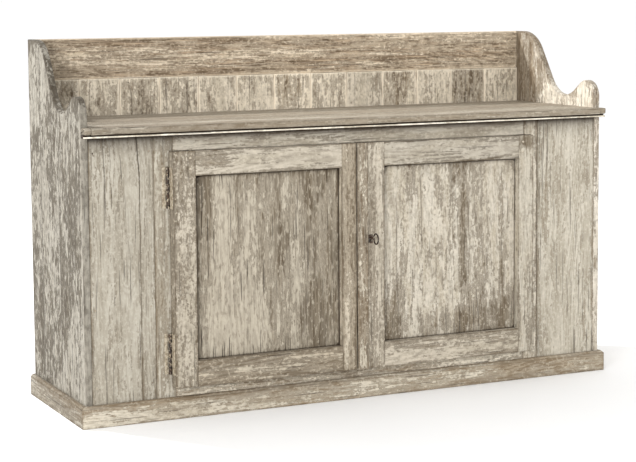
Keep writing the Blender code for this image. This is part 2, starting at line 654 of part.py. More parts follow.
def key():
    lock_x, lock_z = LOCK
    bow_centre = place(lock_x, -KEY_REACH + BOW_WIRE + BOW_RADII[0], lock_z)
    shank_start = place(lock_x, bow_centre.y - FRONT_Y + BOW_RADII[0] - 0.001, lock_z)
    made = rod("key", IRON, shank_start, place(lock_x, KEY_END, lock_z), SHANK_RADIUS, sides=12)
    weld(made, ring_bow("bow", bow_centre))
    weld(made, box("bit", IRON, grown((lock_x, lock_x), 0.0015), (KEY_END - 0.005, KEY_END - 0.0005),
                   (lock_z - BIT_DROP, lock_z)))
    return made


key_axis = joint_axis("key_axis", place(LOCK[0], DOOR_FACE, LOCK[1]))
hang(key_axis, right_axis)
hang(key(), key_axis)


# ---- flush bolt that holds the left door, let into the top of its plug --------------------------
FLUSH_X = (-0.100, -0.080)
FLUSH_SETBACK = (0.0245, 0.0325)
FLUSH_Z = (0.745, 0.7975)
FLUSH_TRAVEL = 0.026

slot_z = (FLUSH_Z[0] - 0.003, HEAD_BOTTOM)
carve(left_door["plug"], box("flush_slot", IRON, grown(FLUSH_X, 0.001),
                             (FLUSH_SETBACK[0] - 0.001, PLUG_DEPTH + 0.01), slot_z))
flush_bolt = box("flush_bolt", STEEL, FLUSH_X, FLUSH_SETBACK, FLUSH_Z)
knob_centre = (FLUSH_X[0] + FLUSH_X[1]) / 2
weld(flush_bolt, rod("finger_knob", STEEL, place(knob_centre, FLUSH_SETBACK[1] - 0.001, 0.757),
                     place(knob_centre, PLUG_DEPTH + 0.008, 0.757), 0.005, sides=16))
flush_axis = joint_axis("flush_bolt_axis", place(knob_centre, sum(FLUSH_SETBACK) / 2, FLUSH_Z[0]))
hang(flush_axis, left_axis)
hang(flush_bolt, flush_axis)
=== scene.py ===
"""Looks of the antique painted-pine icebox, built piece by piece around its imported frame.

Metres, +Z up, X across the front and Y from front to back, as in the frame. "Along" always means
along a board's grain, "across" its width and "depth" its thickness.
"""
import json
import math

import bpy
import numpy as np
from mathutils import Matrix, Vector


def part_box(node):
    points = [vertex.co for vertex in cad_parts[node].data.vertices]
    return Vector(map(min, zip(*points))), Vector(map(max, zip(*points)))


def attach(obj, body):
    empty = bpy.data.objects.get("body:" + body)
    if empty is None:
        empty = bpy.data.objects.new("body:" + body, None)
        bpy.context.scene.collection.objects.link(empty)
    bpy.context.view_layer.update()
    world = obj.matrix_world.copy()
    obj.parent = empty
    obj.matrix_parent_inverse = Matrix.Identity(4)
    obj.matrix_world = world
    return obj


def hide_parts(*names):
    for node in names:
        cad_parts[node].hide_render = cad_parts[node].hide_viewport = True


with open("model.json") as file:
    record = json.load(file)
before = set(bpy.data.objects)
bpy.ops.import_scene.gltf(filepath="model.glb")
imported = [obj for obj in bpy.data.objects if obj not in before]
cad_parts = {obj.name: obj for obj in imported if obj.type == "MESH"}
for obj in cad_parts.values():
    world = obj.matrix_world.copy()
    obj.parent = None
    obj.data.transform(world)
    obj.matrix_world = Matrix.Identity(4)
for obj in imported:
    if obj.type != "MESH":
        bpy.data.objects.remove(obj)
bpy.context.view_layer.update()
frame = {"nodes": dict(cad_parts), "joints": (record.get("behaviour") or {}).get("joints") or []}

nodes = frame["nodes"]


# ==== Side boards with their scrolled gables =====================================================
# Each side of the case is one wide, hand-planed pine board standing on the floor. Its top is sawn
# to a scroll and its arrises are softened, and it was painted off-white long ago.
def tone(red, green, blue):
    """Paint-chart colour, 0 to 255, as the linear colour a shader takes."""
    chart = np.array([red, green, blue]) / 255
    linear = np.where(chart <= 0.04045, chart / 12.92, ((chart + 0.055) / 1.055) ** 2.4)
    return (*linear.tolist(), 1.0)


class Recipe:
    """A finish being mixed. Each method adds one node and returns the socket that comes out of it."""

    def __init__(self, name):
        self.material = bpy.data.materials.new(name)
        self.material.use_nodes = True
        self.tree = self.material.node_tree
        self.shader = self.tree.nodes["Principled BSDF"]

    def feed(self, socket, value):
        if isinstance(value, bpy.types.NodeSocket):
            self.tree.links.new(value, socket)
        else:
            socket.default_value = value

    def add(self, kind, sockets, output=0, **settings):
        node = self.tree.nodes.new(kind)
        for key, value in settings.items():
            setattr(node, key, value)
        for key, value in sockets.items():
            self.feed(node.inputs[key], value)
        return node.outputs[output]

    def sum(self, operation, *values):
        return self.add("ShaderNodeMath", dict(enumerate(values)), operation=operation)

    def scaled(self, vector, scale):
        return self.add("ShaderNodeVectorMath", {0: vector, 1: scale}, operation="MULTIPLY")

    def shifted(self, vector, shift):
        return self.add("ShaderNodeVectorMath", {0: vector, 1: shift}, operation="ADD")

    def noise(self, vector, detail=2.0, roughness=0.5, distortion=0.0):
        return self.add("ShaderNodeTexNoise", {"Vector": vector, "Scale": 1.0, "Detail": detail,
                "Roughness": roughness, "Distortion": distortion})

    def step(self, value, low, high, least=0.0, most=1.0):
        """Smooth step from least, where value is below low, to most, where it is above high."""
        return self.add("ShaderNodeMapRange", {"Value": value, "From Min": low, "From Max": high,
                "To Min": least, "To Max": most}, interpolation_type="SMOOTHSTEP")

    def mix(self, amount, under, over):
        """Colour over laid on colour under by an amount from 0 to 1."""
        return self.add("ShaderNodeMix", {0: amount, 6: under, 7: over}, output=2, data_type="RGBA")

    def relief(self, height):
        """Bump from a height in metres."""
        return self.add("ShaderNodeBump", {"Strength": 1.0, "Distance": 1.0, "Height": height})

    def finish(self, colour, roughness, normal=None, metallic=0.0):
        self.feed(self.shader.inputs["Base Color"], colour)
        self.feed(self.shader.inputs["Roughness"], roughness)
        self.feed(self.shader.inputs["Metallic"], metallic)
        if normal is not None:
            self.feed(self.shader.inputs["Normal"], normal)
        return self.material


def pine(recipe, seed, light, dark, grey, knots):
    """Sawn pine with its knots: colour, fibre, ring and cloud sockets, the board's coordinates and a spot
    maker.

    Rings are the level lines of a noise stretched along the grain: sin(2 pi turns x noise), with
    each knot adding turns as exp(-d^2) of the distance d from it, so that the rings close round it.
    """
    grain = recipe.add("ShaderNodeAttribute", {}, output=1, attribute_name="grain")
    split = recipe.tree.nodes.new("ShaderNodeSeparateXYZ")
    recipe.feed(split.inputs[0], grain)
    placed = recipe.shifted(grain, (seed * 1.37 % 11, seed * 0.83 % 7, seed * 0.59 % 5))

    def spot(along, across, reach_along, reach_across):
        """exp(-d^2) of the distance from a point on the board, in reaches along and across."""
        first = recipe.sum("DIVIDE", recipe.sum("SUBTRACT", split.outputs[0], along), reach_along)
        second = recipe.sum("DIVIDE", recipe.sum("SUBTRACT", split.outputs[1], across), reach_across)
        squared = recipe.sum("MULTIPLY_ADD", first, first, recipe.sum("MULTIPLY", second, second))
        return recipe.sum("EXPONENT", recipe.sum("MULTIPLY", squared, -1.0))

    sweep = recipe.noise(recipe.scaled(placed, (1.1, 8.0, 8.0)), detail=1.2)
    turns = recipe.sum("MULTIPLY", sweep, 26.0)
    eye = 0.0
    for along, across, radius in knots:
        turns = recipe.sum("MULTIPLY_ADD", spot(along, across, radius * 5, radius * 2.4), 3.0, turns)
        eye = recipe.sum("ADD", spot(along, across, radius * 1.2, radius * 0.8), eye)
    wave = recipe.sum("SINE", recipe.sum("MULTIPLY", turns, 2 * math.pi))
    ring = recipe.sum("POWER", recipe.sum("MULTIPLY_ADD", wave, 0.5, 0.5), 2.2)
    fibre = recipe.noise(recipe.scaled(placed, (7.0, 320.0, 320.0)), detail=3.0, roughness=0.6)
    cloud = recipe.noise(recipe.scaled(placed, (3.0, 16.0, 16.0)), detail=3.0, roughness=0.6)
    colour = recipe.mix(recipe.step(fibre, 0.34, 0.66), light, dark)
    colour = recipe.mix(recipe.step(cloud, 0.38, 0.62, 0.0, 0.8), colour, grey)
    colour = recipe.mix(recipe.sum("MULTIPLY", ring, 0.60), colour, dark)
    if knots:
        colour = recipe.mix(recipe.step(eye, 0.2, 0.8, 0.0, 0.85), colour, tone(74, 54, 36))
    return {"colour": colour, "fibre": fibre, "ring": ring, "cloud": cloud, "placed": placed,
        "spot": spot}


RUB_FALL, GRIME_AND_SHADE_FALL, HIGHLIGHT_FALL = 260.0, 650.0, 420.0      # a metre away from an arris
# The same lift paints the highlight along arrises where one is set.
FRESH_PAINT_AND_HIGHLIGHT = 1.10                              # unsoiled paint against the paint round it


def painted_pine(name, seed, patch=(0.10, 0.036), bare=0.0, wash=0.5, paint=(226, 217, 199),
        soiled=(196, 185, 165), light=(164, 149, 127), dark=(104, 88, 68), grey=(146, 136, 120), rub=1.0,
        streaks=0.5, flakes=0.7, drifts=0.9, grain=(15.0, 105.0), fleck=(80.0, 110.0), specks=0.4,
        grime_and_shade=0.2, arris_highlight=0.0, shade=1.0, spots=(), painted_shade=(), knots=(), checks=0.5):
    """Flaking off-white paint over weathered pine.

    The paint stays where a sum of noises is above a level: patches of the given size, a slow drift,
    small flakes and the wood's own fibre, less what is rubbed off within a few millimetres of an
    edge. A thin wash of it stays in the pores round about, and its broken rim throws a fine shadow.
    Grime and painted shade darken the arrises: dirt where the amount is small, and painted shade in
    the recesses where it is set strong. Where a highlight is set, the arrises are painted lighter
    instead: a painted highlight along them. Flecks a few millimetres across are chipped out of the
    paint and left behind on the wood. Each spot shifts the level near one place of the board, (along,
    across, reach along, reach across, shift), paint where positive, and each mark of painted shade
    darkens one in the same way: a painted shadow. Shade darkens or lightens the whole board; it is
    set board by board to how bright each shows, so it holds painted light and shade as well as tone.
    """
    recipe = Recipe(name)
    fresh = tuple(min(255, FRESH_PAINT_AND_HIGHLIGHT * level) for level in paint)
    # The last chart is the dark of cracks and dirt, used also for painted shade.
    charts = (paint, soiled, light, dark, grey, fresh, (48, 34, 20))
    shaded = ((*(shade * level for level in tone(*chart)[:3]), 1.0) for chart in charts)
    paint, soiled, light, dark, grey, fresh, crack_dirt_and_shade = shaded
    wood = pine(recipe, seed, light, dark, grey, knots)
    placed = wood["placed"]
    edge = recipe.add("ShaderNodeAttribute", {}, output=2, attribute_name="edge")

    def field(along, across, shift=None, **settings):
        """Noise with so many features a metre along and across the grain, set off by a shift."""
        origin = recipe.shifted(placed, shift) if shift else placed
        return recipe.noise(recipe.scaled(origin, (along, across, across)), **settings)

    def at_arris(rate):
        """1 on an arris, falling off as exp(-rate x distance) away from it."""
        return recipe.sum("EXPONENT", recipe.sum("MULTIPLY", edge, -rate))

    along, across = patch
    cells = field(1 / along, 1 / across, detail=5.0, roughness=0.68, distortion=0.3)
    drift = field(0.22 / along, 0.24 / across, detail=1.0)
    flake = field(*grain, detail=3.0, roughness=0.7)
    speck = field(*fleck, (0.7, 2.9, 1.3), detail=2.5, roughness=0.65)
    offset = recipe.shifted(placed, (2.3, 0.4, 3.7))
    stretch = (grain[0], 1.1 * grain[1], grain[1])
    grit = recipe.noise(recipe.scaled(offset, stretch), detail=3.0, roughness=0.7)
    level = cells
    for noise, weight in ((drift, drifts), (flake, flakes), (speck, -0.5), (wood["fibre"], streaks)):
        level = recipe.sum("MULTIPLY_ADD", noise, weight, level)
    level = recipe.sum("SUBTRACT", level, 0.5 * (0.5 + drifts + flakes + streaks) + bare)
    for place_along, place_across, reach_along, reach_across, shift in spots:
        near = wood["spot"](place_along, place_across, reach_along, reach_across)
        level = recipe.sum("MULTIPLY_ADD", near, shift, level)
    level = recipe.sum("MULTIPLY_ADD", at_arris(RUB_FALL), -0.30 * rub, level)
    film = recipe.step(level, -0.010, 0.014)
    haze = recipe.step(level, -0.26, 0.02, 0.0, 0.8 * wash)
    rim = recipe.sum("MULTIPLY", recipe.step(level, -0.07, -0.01), recipe.step(level, -0.01, 0.03, 1.0, 0.0))
    check = recipe.step(field(5.0, 160.0, detail=1.0), 0.67, 0.71, 0.0, checks)
    dirt = field(5.0, 26.0, (3.1, 1.7, 0.4), detail=4.0, roughness=0.62)
    chip = recipe.step(speck, 0.555, 0.60, 0.0, 0.62 * specks)
    coat = recipe.mix(recipe.step(dirt, 0.42, 0.62), paint, soiled)
    coat = recipe.mix(recipe.sum("MULTIPLY", wood["ring"], 0.30), coat, grey)
    coat = recipe.mix(recipe.step(grit, 0.54, 0.60, 0.0, 0.45), coat, grey)
    coat = recipe.mix(recipe.step(speck, 0.46, 0.38, 0.0, 0.35), coat, fresh)
    coat = recipe.mix(chip, coat, dark)
    bareness = recipe.mix(recipe.step(grit, 0.52, 0.60, 0.0, 0.85), wood["colour"], dark)
    bareness = recipe.mix(recipe.step(speck, 0.45, 0.38, 0.0, 1.2 * specks), bareness, soiled)
    colour = recipe.mix(haze, bareness, paint)
    colour = recipe.mix(recipe.sum("MULTIPLY", rim, 0.65), colour, dark)
    colour = recipe.mix(film, colour, coat)
    colour = recipe.mix(check, colour, crack_dirt_and_shade)
    # Darkening on the arrises: dirt where it is slight, painted shade in recesses where it is set strong.
    colour = recipe.mix(recipe.sum("MULTIPLY", at_arris(GRIME_AND_SHADE_FALL), grime_and_shade), colour, crack_dirt_and_shade)
    # Lighter paint along the arrises where set: a painted highlight.
    if arris_highlight:
        colour = recipe.mix(recipe.sum("MULTIPLY", at_arris(HIGHLIGHT_FALL), arris_highlight), colour, fresh)
    # Marks of painted shade: shadows cast across the board, darkened into its colour.
    for place_along, place_across, reach_along, reach_across, strength in painted_shade:
        near = wood["spot"](place_along, place_across, reach_along, reach_across)
        colour = recipe.mix(recipe.sum("MULTIPLY", near, strength), colour, crack_dirt_and_shade)
    height = recipe.sum("MULTIPLY", film, 0.0006)
    for figure, rise in ((chip, -0.0005), (wood["fibre"], 0.0006), (wood["ring"], 0.0003), (check, -0.0012)):
        height = recipe.sum("MULTIPLY_ADD", figure, rise, height)
    roughness = recipe.step(film, 0.0, 1.0, 0.88, 0.72)
    recipe.shader.inputs["Specular IOR Level"].default_value = 0.35
    return recipe.finish(colour, roughness, recipe.relief(height))


def undulation(along, across, seed):
    """Hand-planed unevenness, 0 to 1: the mean of seven sine waves with their own headings."""
    draw = np.random.default_rng(seed)
    pace_along = draw.uniform(5, 45, 7)
    pace_across = draw.uniform(-70, 70, 7)
    phase = draw.uniform(0, 2 * math.pi, 7)
    waves = np.sin(along[..., None] * pace_along + across[..., None] * pace_across + phase)
    return 0.5 + 0.5 * waves.mean(-1)


def knocks(along, corner, length, seed):
    """Depth of the knocks along each arris, in metres: bells of random place, width and depth."""
    draw = np.random.default_rng(seed + 5000)
    count = max(3, round(length / 0.09))
    shape = (int(corner.max()) + 1, count)
    place = draw.uniform(0, length, shape)[corner]
    width = draw.uniform(0.004, 0.020, shape)[corner]
    deep = 0.0013 * draw.uniform(0, 1, shape)[corner] ** 2
    return (deep * np.exp(-((along[..., None] - place) / width) ** 2)).sum(-1)


def graded(length, step):
    """Places along a length, close together near both ends and a step apart between them."""
    near = np.array([0.0, 0.0015, 0.004, 0.009, 0.018])
    near = near[near < 0.4 * length]
    middle = np.linspace(near[-1], length - near[-1], max(2, 1 + round((length - 2 * near[-1]) / step)))
    return np.concatenate([near[:-1], middle, length - near[-2::-1]])


def skin(points, quads, caps, grain, edge):
    """One closed surface, turned so that its faces look outwards.

    Its volume is a sixth of the sum of a . (b x c) over triangles fanned from each face's first
    corner, and where that is negative every face is turned round.
    """
    fans = [quads[:, [0, 1, 2]], quads[:, [0, 2, 3]]]
    fans += [np.stack([np.full(len(cap) - 2, cap[0]), cap[1:-1], cap[2:]], axis=1) for cap in caps]
    centred = points - points.mean(0)
    a, b, c = centred[np.concatenate(fans)].transpose(1, 0, 2)
    if np.einsum("ij,ij->", a, np.cross(b, c)) < 0:
        quads = quads[:, ::-1]
        caps = [cap[::-1] for cap in caps]
    return {"points": points, "faces": quads.tolist() + [cap.tolist() for cap in caps], "grain": grain,
        "edge": edge}


def assemble(name, skins, finish, body, slot, *replaced, crease=50):
    """Join closed surfaces into one piece that rides on a body."""
    mesh = bpy.data.meshes.new(name)
    starts = np.cumsum([0] + [len(one["points"]) for one in skins])
    faces = [[corner + int(start) for corner in face] for one, start in zip(skins, starts)
        for face in one["faces"]]
    mesh.from_pydata(np.concatenate([one["points"] for one in skins]).tolist(), [], faces)
    grain = mesh.attributes.new("grain", "FLOAT_VECTOR", "POINT")
    grain.data.foreach_set("vector", np.concatenate([one["grain"] for one in skins]).ravel())
    edge = mesh.attributes.new("edge", "FLOAT", "POINT")
    edge.data.foreach_set("value", np.concatenate([one["edge"] for one in skins]))
    mesh.materials.append(finish)
    mesh.shade_smooth()
    mesh.set_sharp_from_angle(angle=math.radians(crease))
    piece = bpy.data.objects.new(name, mesh)
    bpy.context.scene.collection.objects.link(piece)
    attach(piece, body)
    if replaced:
        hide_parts(*replaced)
    return piece


def seed_of(name):
    return sum(name.encode())


SHOULDER, SHOULDER_RADIUS = (0.472, 0.138), 0.138       # setback and drop below the gable's top
HOLLOW, HOLLOW_RADIUS = (0.190, 0.104), 0.115
NUB, NUB_RADIUS = (0.056, 0.219), 0.056
GABLE_ARRIS = 0.0028


def crossed(first, first_radius, second, second_radius):
    """Heading from one circle's centre to another's, and the angle off it of their crossed tangent."""
    reach = second - first
    return math.atan2(reach[1], reach[0]), math.acos((first_radius + second_radius) / np.hypot(*reach))


def scroll(height):
    """Scroll from front to back as (setback, z), with outward normals: three arcs and tangents."""
    centres = [np.array([s, height - drop]) for s, drop in (NUB, HOLLOW, SHOULDER)]
    heading, spread = crossed(centres[2], SHOULDER_RADIUS, centres[1], HOLLOW_RADIUS)
    shoulder_end = heading - spread
    hollow_start = shoulder_end - math.pi
    heading, spread = crossed(centres[1], HOLLOW_RADIUS, centres[0], NUB_RADIUS)
    hollow_end = heading + spread
    nub_start = hollow_end + math.pi
    nub_turn = np.linspace(math.pi, nub_start % (2 * math.pi), 26)
    hollow_turn = np.linspace(hollow_end, hollow_start, 40)
    shoulder_turn = np.linspace(shoulder_end, math.pi / 2, 26)
    outline = []
    normals = []
    for centre, radius, turn, side in ((centres[0], NUB_RADIUS, nub_turn, 1), (centres[1], HOLLOW_RADIUS,
                hollow_turn, -1), (centres[2], SHOULDER_RADIUS, shoulder_turn, 1)):
        spoke = np.stack([np.cos(turn), np.sin(turn)], axis=1)
        outline.append(centre + radius * spoke)
        normals.append(side * spoke)
    return np.concatenate(outline), np.concatenate(normals)


def gable(name, node, side, finish):
    """Board with a scrolled top: two flat grids of columns from the floor to the scroll, joined
    round their rim by an edge profile of two quarter rounds."""
    low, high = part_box(node)
    depth = high.y - low.y
    top, normal = scroll(high.z)
    rest = np.linspace(top[-1, 0], depth, 5)[1:]
    top = np.concatenate([top, np.stack([rest, np.full(len(rest), high.z)], axis=1)])
    normal = np.concatenate([normal, np.tile([0.0, 1.0], (len(rest), 1))])
    rim = top - GABLE_ARRIS * normal
    rim[-1, 0] = depth - GABLE_ARRIS
    share = graded(1.1, 0.022) / 1.1
    columns, rows = len(rim), len(share)
    setback = np.repeat(rim[:, 0][:, None], rows, axis=1)
    height = GABLE_ARRIS + (rim[:, 1][:, None] - GABLE_ARRIS) * share
    flat = np.stack([setback, height], axis=-1)
    index = np.arange(columns * rows).reshape(columns, rows)
    loop = np.concatenate([index[:-1, 0], index[-1, :-1], index[:0:-1, -1], index[0, :0:-1]])
    outward = np.concatenate([np.tile([0.0, -1.0], (columns - 1, 1)), np.tile([1.0, 0.0], (rows - 1, 1)),
            normal[:0:-1], np.tile([-1.0, 0.0], (rows - 1, 1))])
    outward[0] = (-1.0, -1.0)
    outward[columns - 1] = (1.0, -1.0)
    outward[columns + rows - 2] = (1.0, 1.0)
    thick = high.x - low.x
    turn = np.linspace(0, math.pi / 2, 5)
    across = np.concatenate([GABLE_ARRIS * (1 - np.cos(turn)),
            thick - GABLE_ARRIS * (1 - np.cos(turn[::-1]))])
    reach = GABLE_ARRIS * np.concatenate([np.sin(turn), np.sin(turn[::-1])])
    seed = seed_of(name)
    face = flat.reshape(-1, 2)
    around = face[loop]
    travel = np.concatenate([[0.0], np.cumsum(np.hypot(*np.diff(around, axis=0).T))])
    nick = knocks(travel[:, None], np.zeros((len(travel), 1), int), travel[-1], seed)[:, 0]
    bands = around + outward * (reach[1:-1, None, None] - 0.6 * nick[:, None])
    sunk = 0.0004 * undulation(face[:, 0], face[:, 1], seed)
    inner = 0.0004 * undulation(face[:, 0], face[:, 1], seed + 1)
    planes = [np.column_stack([sunk, face]), np.column_stack([thick - inner, face])]
    planes += [np.column_stack([np.full(len(loop), place), band]) for place, band in zip(across[1:-1],
            bands)]
    local = np.concatenate(planes)
    outer_x, way = (low.x, 1) if side < 0 else (high.x, -1)
    points = np.column_stack([outer_x + way * local[:, 0], low.y + local[:, 1], low.z + local[:, 2]])
    ring = np.arange(len(loop))
    rings = np.stack([loop] + [2 * len(face) + ring + len(loop) * k for k in range(len(bands))]
        + [loop + len(face)])
    after = np.roll(rings, -1, axis=1)
    strip = np.stack([rings[:-1], after[:-1], after[1:], rings[1:]], axis=-1).reshape(-1, 4)
    sheet = np.stack([index[:-1, :-1], index[1:, :-1], index[1:, 1:], index[:-1, 1:]],
        axis=-1).reshape(-1, 4)
    quads = np.concatenate([sheet[:, ::-1], sheet + len(face), strip[:, ::-1]])
    gap = np.min(np.hypot(*(face[:, None] - around[None]).transpose(2, 0, 1)), axis=1)
    edge = np.concatenate([gap, gap, np.zeros(len(loop) * len(bands))])
    plank = (local[:, 1] > depth * 0.43) * 0.41 + (local[:, 1] > depth * 0.78) * 0.37
    grain = np.column_stack([local[:, 2], local[:, 1], local[:, 0] + plank])
    assemble(name, [skin(points, quads, [], grain, edge)], finish, "cabinet", "painted_pine", node)


# The left board's low shade is painted shade: it keeps its outer face dark though the lamps light it.
gable("left_gable", "left_side_board", -1, painted_pine("left_gable_paint", 3, shade=0.45,
        patch=(0.10, 0.044), bare=-0.02, wash=0.25, rub=0.6, flakes=0.9, drifts=0.9, grain=(26.0, 60.0),
        fleck=(50.0, 75.0), spots=((0.5, 0.0, 9.0, 0.012, 0.6),), paint=(224, 216, 199),
        soiled=(204, 195, 177), light=(152, 141, 122), dark=(104, 92, 74), grey=(130, 121, 106)))
# On the right board's inner face, bared wood and painted shade near the back darken where the gallery's
# shadow falls.
gable("right_gable", "right_side_board", 1, painted_pine("right_gable_paint", 8, shade=1.1,
        patch=(0.10, 0.04), bare=-0.16, wash=0.6, rub=0.4, paint=(222, 214, 199), soiled=(204, 194, 177),
        drifts=0.6, specks=0.2, spots=((1.0, 0.52, 0.22, 0.16, -0.8),),
        painted_shade=((1.0, 0.55, 0.24, 0.10, 0.5),)))


# ==== Plinth =====================================================================================
# Three boards on edge round the foot of the case, mitred at the front corners, nailed on, with a
# planed chamfer along the top. Scuffing has left streaks along the grain.
def worked_section(corners, radius, step=0.018):
    """Outline of a planed stick: straight faces joined by arcs that touch them.

    At a corner between faces with normals m and n the arc's centre is the corner less
    (m + n) r / (1 + m . n), and its points lie r along normals turned from m to n.
    """
    corners = np.asarray(corners, float)
    ahead = np.roll(corners, -1, axis=0) - corners
    lengths = np.hypot(*ahead.T)
    ways = ahead / lengths[:, None]
    normals = np.column_stack([ways[:, 1], -ways[:, 0]])
    parts = []
    for index in range(len(corners)):
        before, after = normals[index - 1], normals[index]
        turn = math.atan2(before[0] * after[1] - before[1] * after[0], before @ after)
        side = 1 if turn > 0 else -1
        centre = corners[index] - side * (before + after) * radius / (1 + before @ after)
        angles = math.atan2(before[1], before[0]) + np.linspace(0, turn, 5)
        spoke = np.column_stack([np.cos(angles), np.sin(angles)])
        parts.append((centre + side * radius * spoke, spoke, np.zeros(5), np.full(5, index)))
    outline = []
    for index in range(len(corners)):
        following = (index + 1) % len(corners)
        outline.append(parts[index])
        start, stop = parts[index][0][-1], parts[following][0][0]
        run = np.hypot(*(stop - start))
        places = graded(run, step)[1:-1]
        nearest = np.minimum(places, run - places)
        corner = np.where(places < run / 2, index, following)
        outline.append((start + ways[index] * places[:, None], np.tile(normals[index], (len(places), 1)),
                nearest, corner))
    points, spokes, away, corner = (np.concatenate(column) for column in zip(*outline))
    return {"points": points, "normals": spokes, "away": away, "corner": corner}


def carried(section, axis, span, radius, seed, step=0.018, wear=1.0, start=None, stop=None, joints=()):
    """Section carried along an axis, with its ends rounded and its faces uneven.

    Each station holds the section moved inwards along its own normals: by r (1 - sin a) at
    r (1 - cos a) from an end, by the unevenness of its faces, and by the knocks on its arrises.
    """
    turn = np.linspace(0, math.pi / 2, 4)
    length = span[1] - span[0]
    inner = graded(length - 2 * radius, step)[1:-1] + radius
    stations = np.concatenate([radius * (1 - np.cos(turn)), inner,
            length - radius * (1 - np.cos(turn[::-1]))])
    inset = np.concatenate([radius * (1 - np.sin(turn)), np.zeros(len(inner)),
            radius * (1 - np.sin(turn[::-1]))])
    outline, normals = section["points"], section["normals"]
    first = span[0] if start is None else start(outline)
    last = span[1] if stop is None else stop(outline)
    along = first + (last - first) * (stations / length)[:, None] + 0 * outline[:, 0]
    local = stations[:, None] + 0 * outline[:, 0]
    size = np.ptp(outline, axis=0)
    wide = int(size[1] > size[0])
    across = outline[:, wide] - outline[:, wide].min()
    uneven = 0.00035 * wear * undulation(local, across + outline[:, 1 - wide] * 3, seed)
    nick = wear * knocks(local, np.tile(section["corner"], (len(stations), 1)), length, seed)
    nick = nick * np.exp(-(section["away"] / 0.0025) ** 2)
    ring = outline - normals * (inset[:, None] + uneven + nick)[..., None]
    points = np.zeros((*along.shape, 3))
    points[..., axis] = along
    points[..., (axis + 1) % 3] = ring[..., 0]
    points[..., (axis + 2) % 3] = ring[..., 1]
    index = np.arange(along.size).reshape(along.shape)
    after = np.roll(index, -1, axis=1)
    quads = np.stack([index[:-1], after[:-1], after[1:], index[1:]], axis=-1).reshape(-1, 4)
    ends = np.minimum(stations, length - stations)
    edge = np.minimum(section["away"], ends[:, None])
    depth = outline[:, 1 - wide] - outline[:, 1 - wide].min()
    plank = sum((across > joint).astype(float) * 0.37 for joint in joints)
    grain = np.stack([local, across + 0 * local, depth + plank + 0 * local], axis=-1)
    return skin(points.reshape(-1, 3), quads, [index[0][::-1], index[-1]], grain.reshape(-1, 3),
        edge.ravel())


plinth_low, plinth_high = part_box("front_plinth")
case_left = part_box("left_side_board")[0].x
case_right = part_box("right_side_board")[1].x
case_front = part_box("left_frame_stile")[0].y
PLINTH_CHAMFER = 0.008
plinth_finish = dict(patch=(0.16, 0.020), bare=0.0, wash=0.6, streaks=0.6, paint=(205, 196, 178),
    soiled=(182, 171, 151), light=(168, 153, 130), dark=(122, 105, 82))


def plinth_section(faces_axis):
    """Upright board with a chamfer on its outer top arris, as corners of (first, second) axis."""
    outer, inner = faces_axis
    way = 1 if outer > inner else -1
    top = plinth_high.z
    return [(outer, 0.0), (outer, top - PLINTH_CHAMFER), (outer - way * PLINTH_CHAMFER, top),
        (inner, top), (inner, 0.0)]


front_corners = plinth_section((plinth_low.y, plinth_high.y))[::-1]
front_run = carried(worked_section(front_corners, 0.0012), 0, (case_left, case_right), 0.0010,
    seed_of("front"), start=lambda outline: case_left - (case_front - outline[:, 0]),
    stop=lambda outline: case_right + (case_front - outline[:, 0]))
# Painted shade towards the left end of the front board.
finish = painted_pine("front_plinth_paint", 15, shade=1.02, painted_shade=((0.15, 0.05, 0.7, 9.0, 0.16),),
    **plinth_finish)
assemble("front_plinth_board", [front_run], finish, "cabinet", "painted_pine", "front_plinth")
# The left board's lower shade is painted shade: it darkens the face that the lamps light from the left.
for side, name, shade in ((-1, "left_plinth", 0.56), (1, "right_plinth", 0.85)):
    low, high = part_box(name)
    outer, inner = (low.x, high.x) if side < 0 else (high.x, low.x)
    corners = [(z, x) for x, z in plinth_section((outer, inner))]
    if side > 0:
        corners = corners[::-1]
    case_edge = case_left if side < 0 else case_right
    run = carried(worked_section(corners, 0.0012), 1, (case_front, high.y), 0.0010, seed_of(name),
        start=lambda outline: case_front - np.abs(outline[:, 1] - case_edge) + 0.0003)
    finish = painted_pine(f"{name}_paint", 17 + side, shade=shade, **plinth_finish)
    assemble(f"{name}_board", [run], finish, "cabinet", "painted_pine", name)


# ==== Face frame and wide front boards ===========================================================
# Stiles, rails and a centre post, 22 mm thick, mortised together and closed at either side by a wide
# fixed board. The left board has a shake, a hairline that opens to a dark gap near the top.
def rectangle(low, high, axis, trim=0.0):
    """Corners of a board's section between two opposite corners of its box, anticlockwise."""
    first, second = (axis + 1) % 3, (axis + 2) % 3
    return [(low[first] + trim, low[second] + trim), (high[first] - trim, low[second] + trim),
        (high[first] - trim, high[second] - trim), (low[first] + trim, high[second] - trim)]


X, Y, Z = 0, 1, 2


def board(node, axis, finish, body="cabinet", slot="painted_pine", radius=0.0016, wear=1.0, joints=()):
    """Plain board in place of a node of the frame."""
    low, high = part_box(node)
    name = f"{node}_pine"
    run = carried(worked_section(rectangle(low, high, axis), radius), axis, (low[axis], high[axis]),
        min(radius, 0.0012), seed_of(name), wear=wear, joints=joints)
    return assemble(name, [run], finish, body, slot, node)


low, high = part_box("left_front_board")
SHAKE_FROM_RIGHT = 0.046
SHAKE_GAP = 0.0002                          # from the middle of the shake to either side
SHAKE_OPENING = 0.0012                      # how much further each side stands off at the board's top
SHAKE_OPEN_LENGTH = 0.30                    # and how far down that reaches
SHAKE_LEAN, SHAKE_LEAN_LENGTH = 0.010, 0.13
shake = high.x - SHAKE_FROM_RIGHT


def shake_line(z):
    """X of the shake at a height: straight from the foot, leaning left near the top."""
    return shake - SHAKE_LEAN * np.clip((z - (high.z - SHAKE_LEAN_LENGTH)) / SHAKE_LEAN_LENGTH, 0, 1)


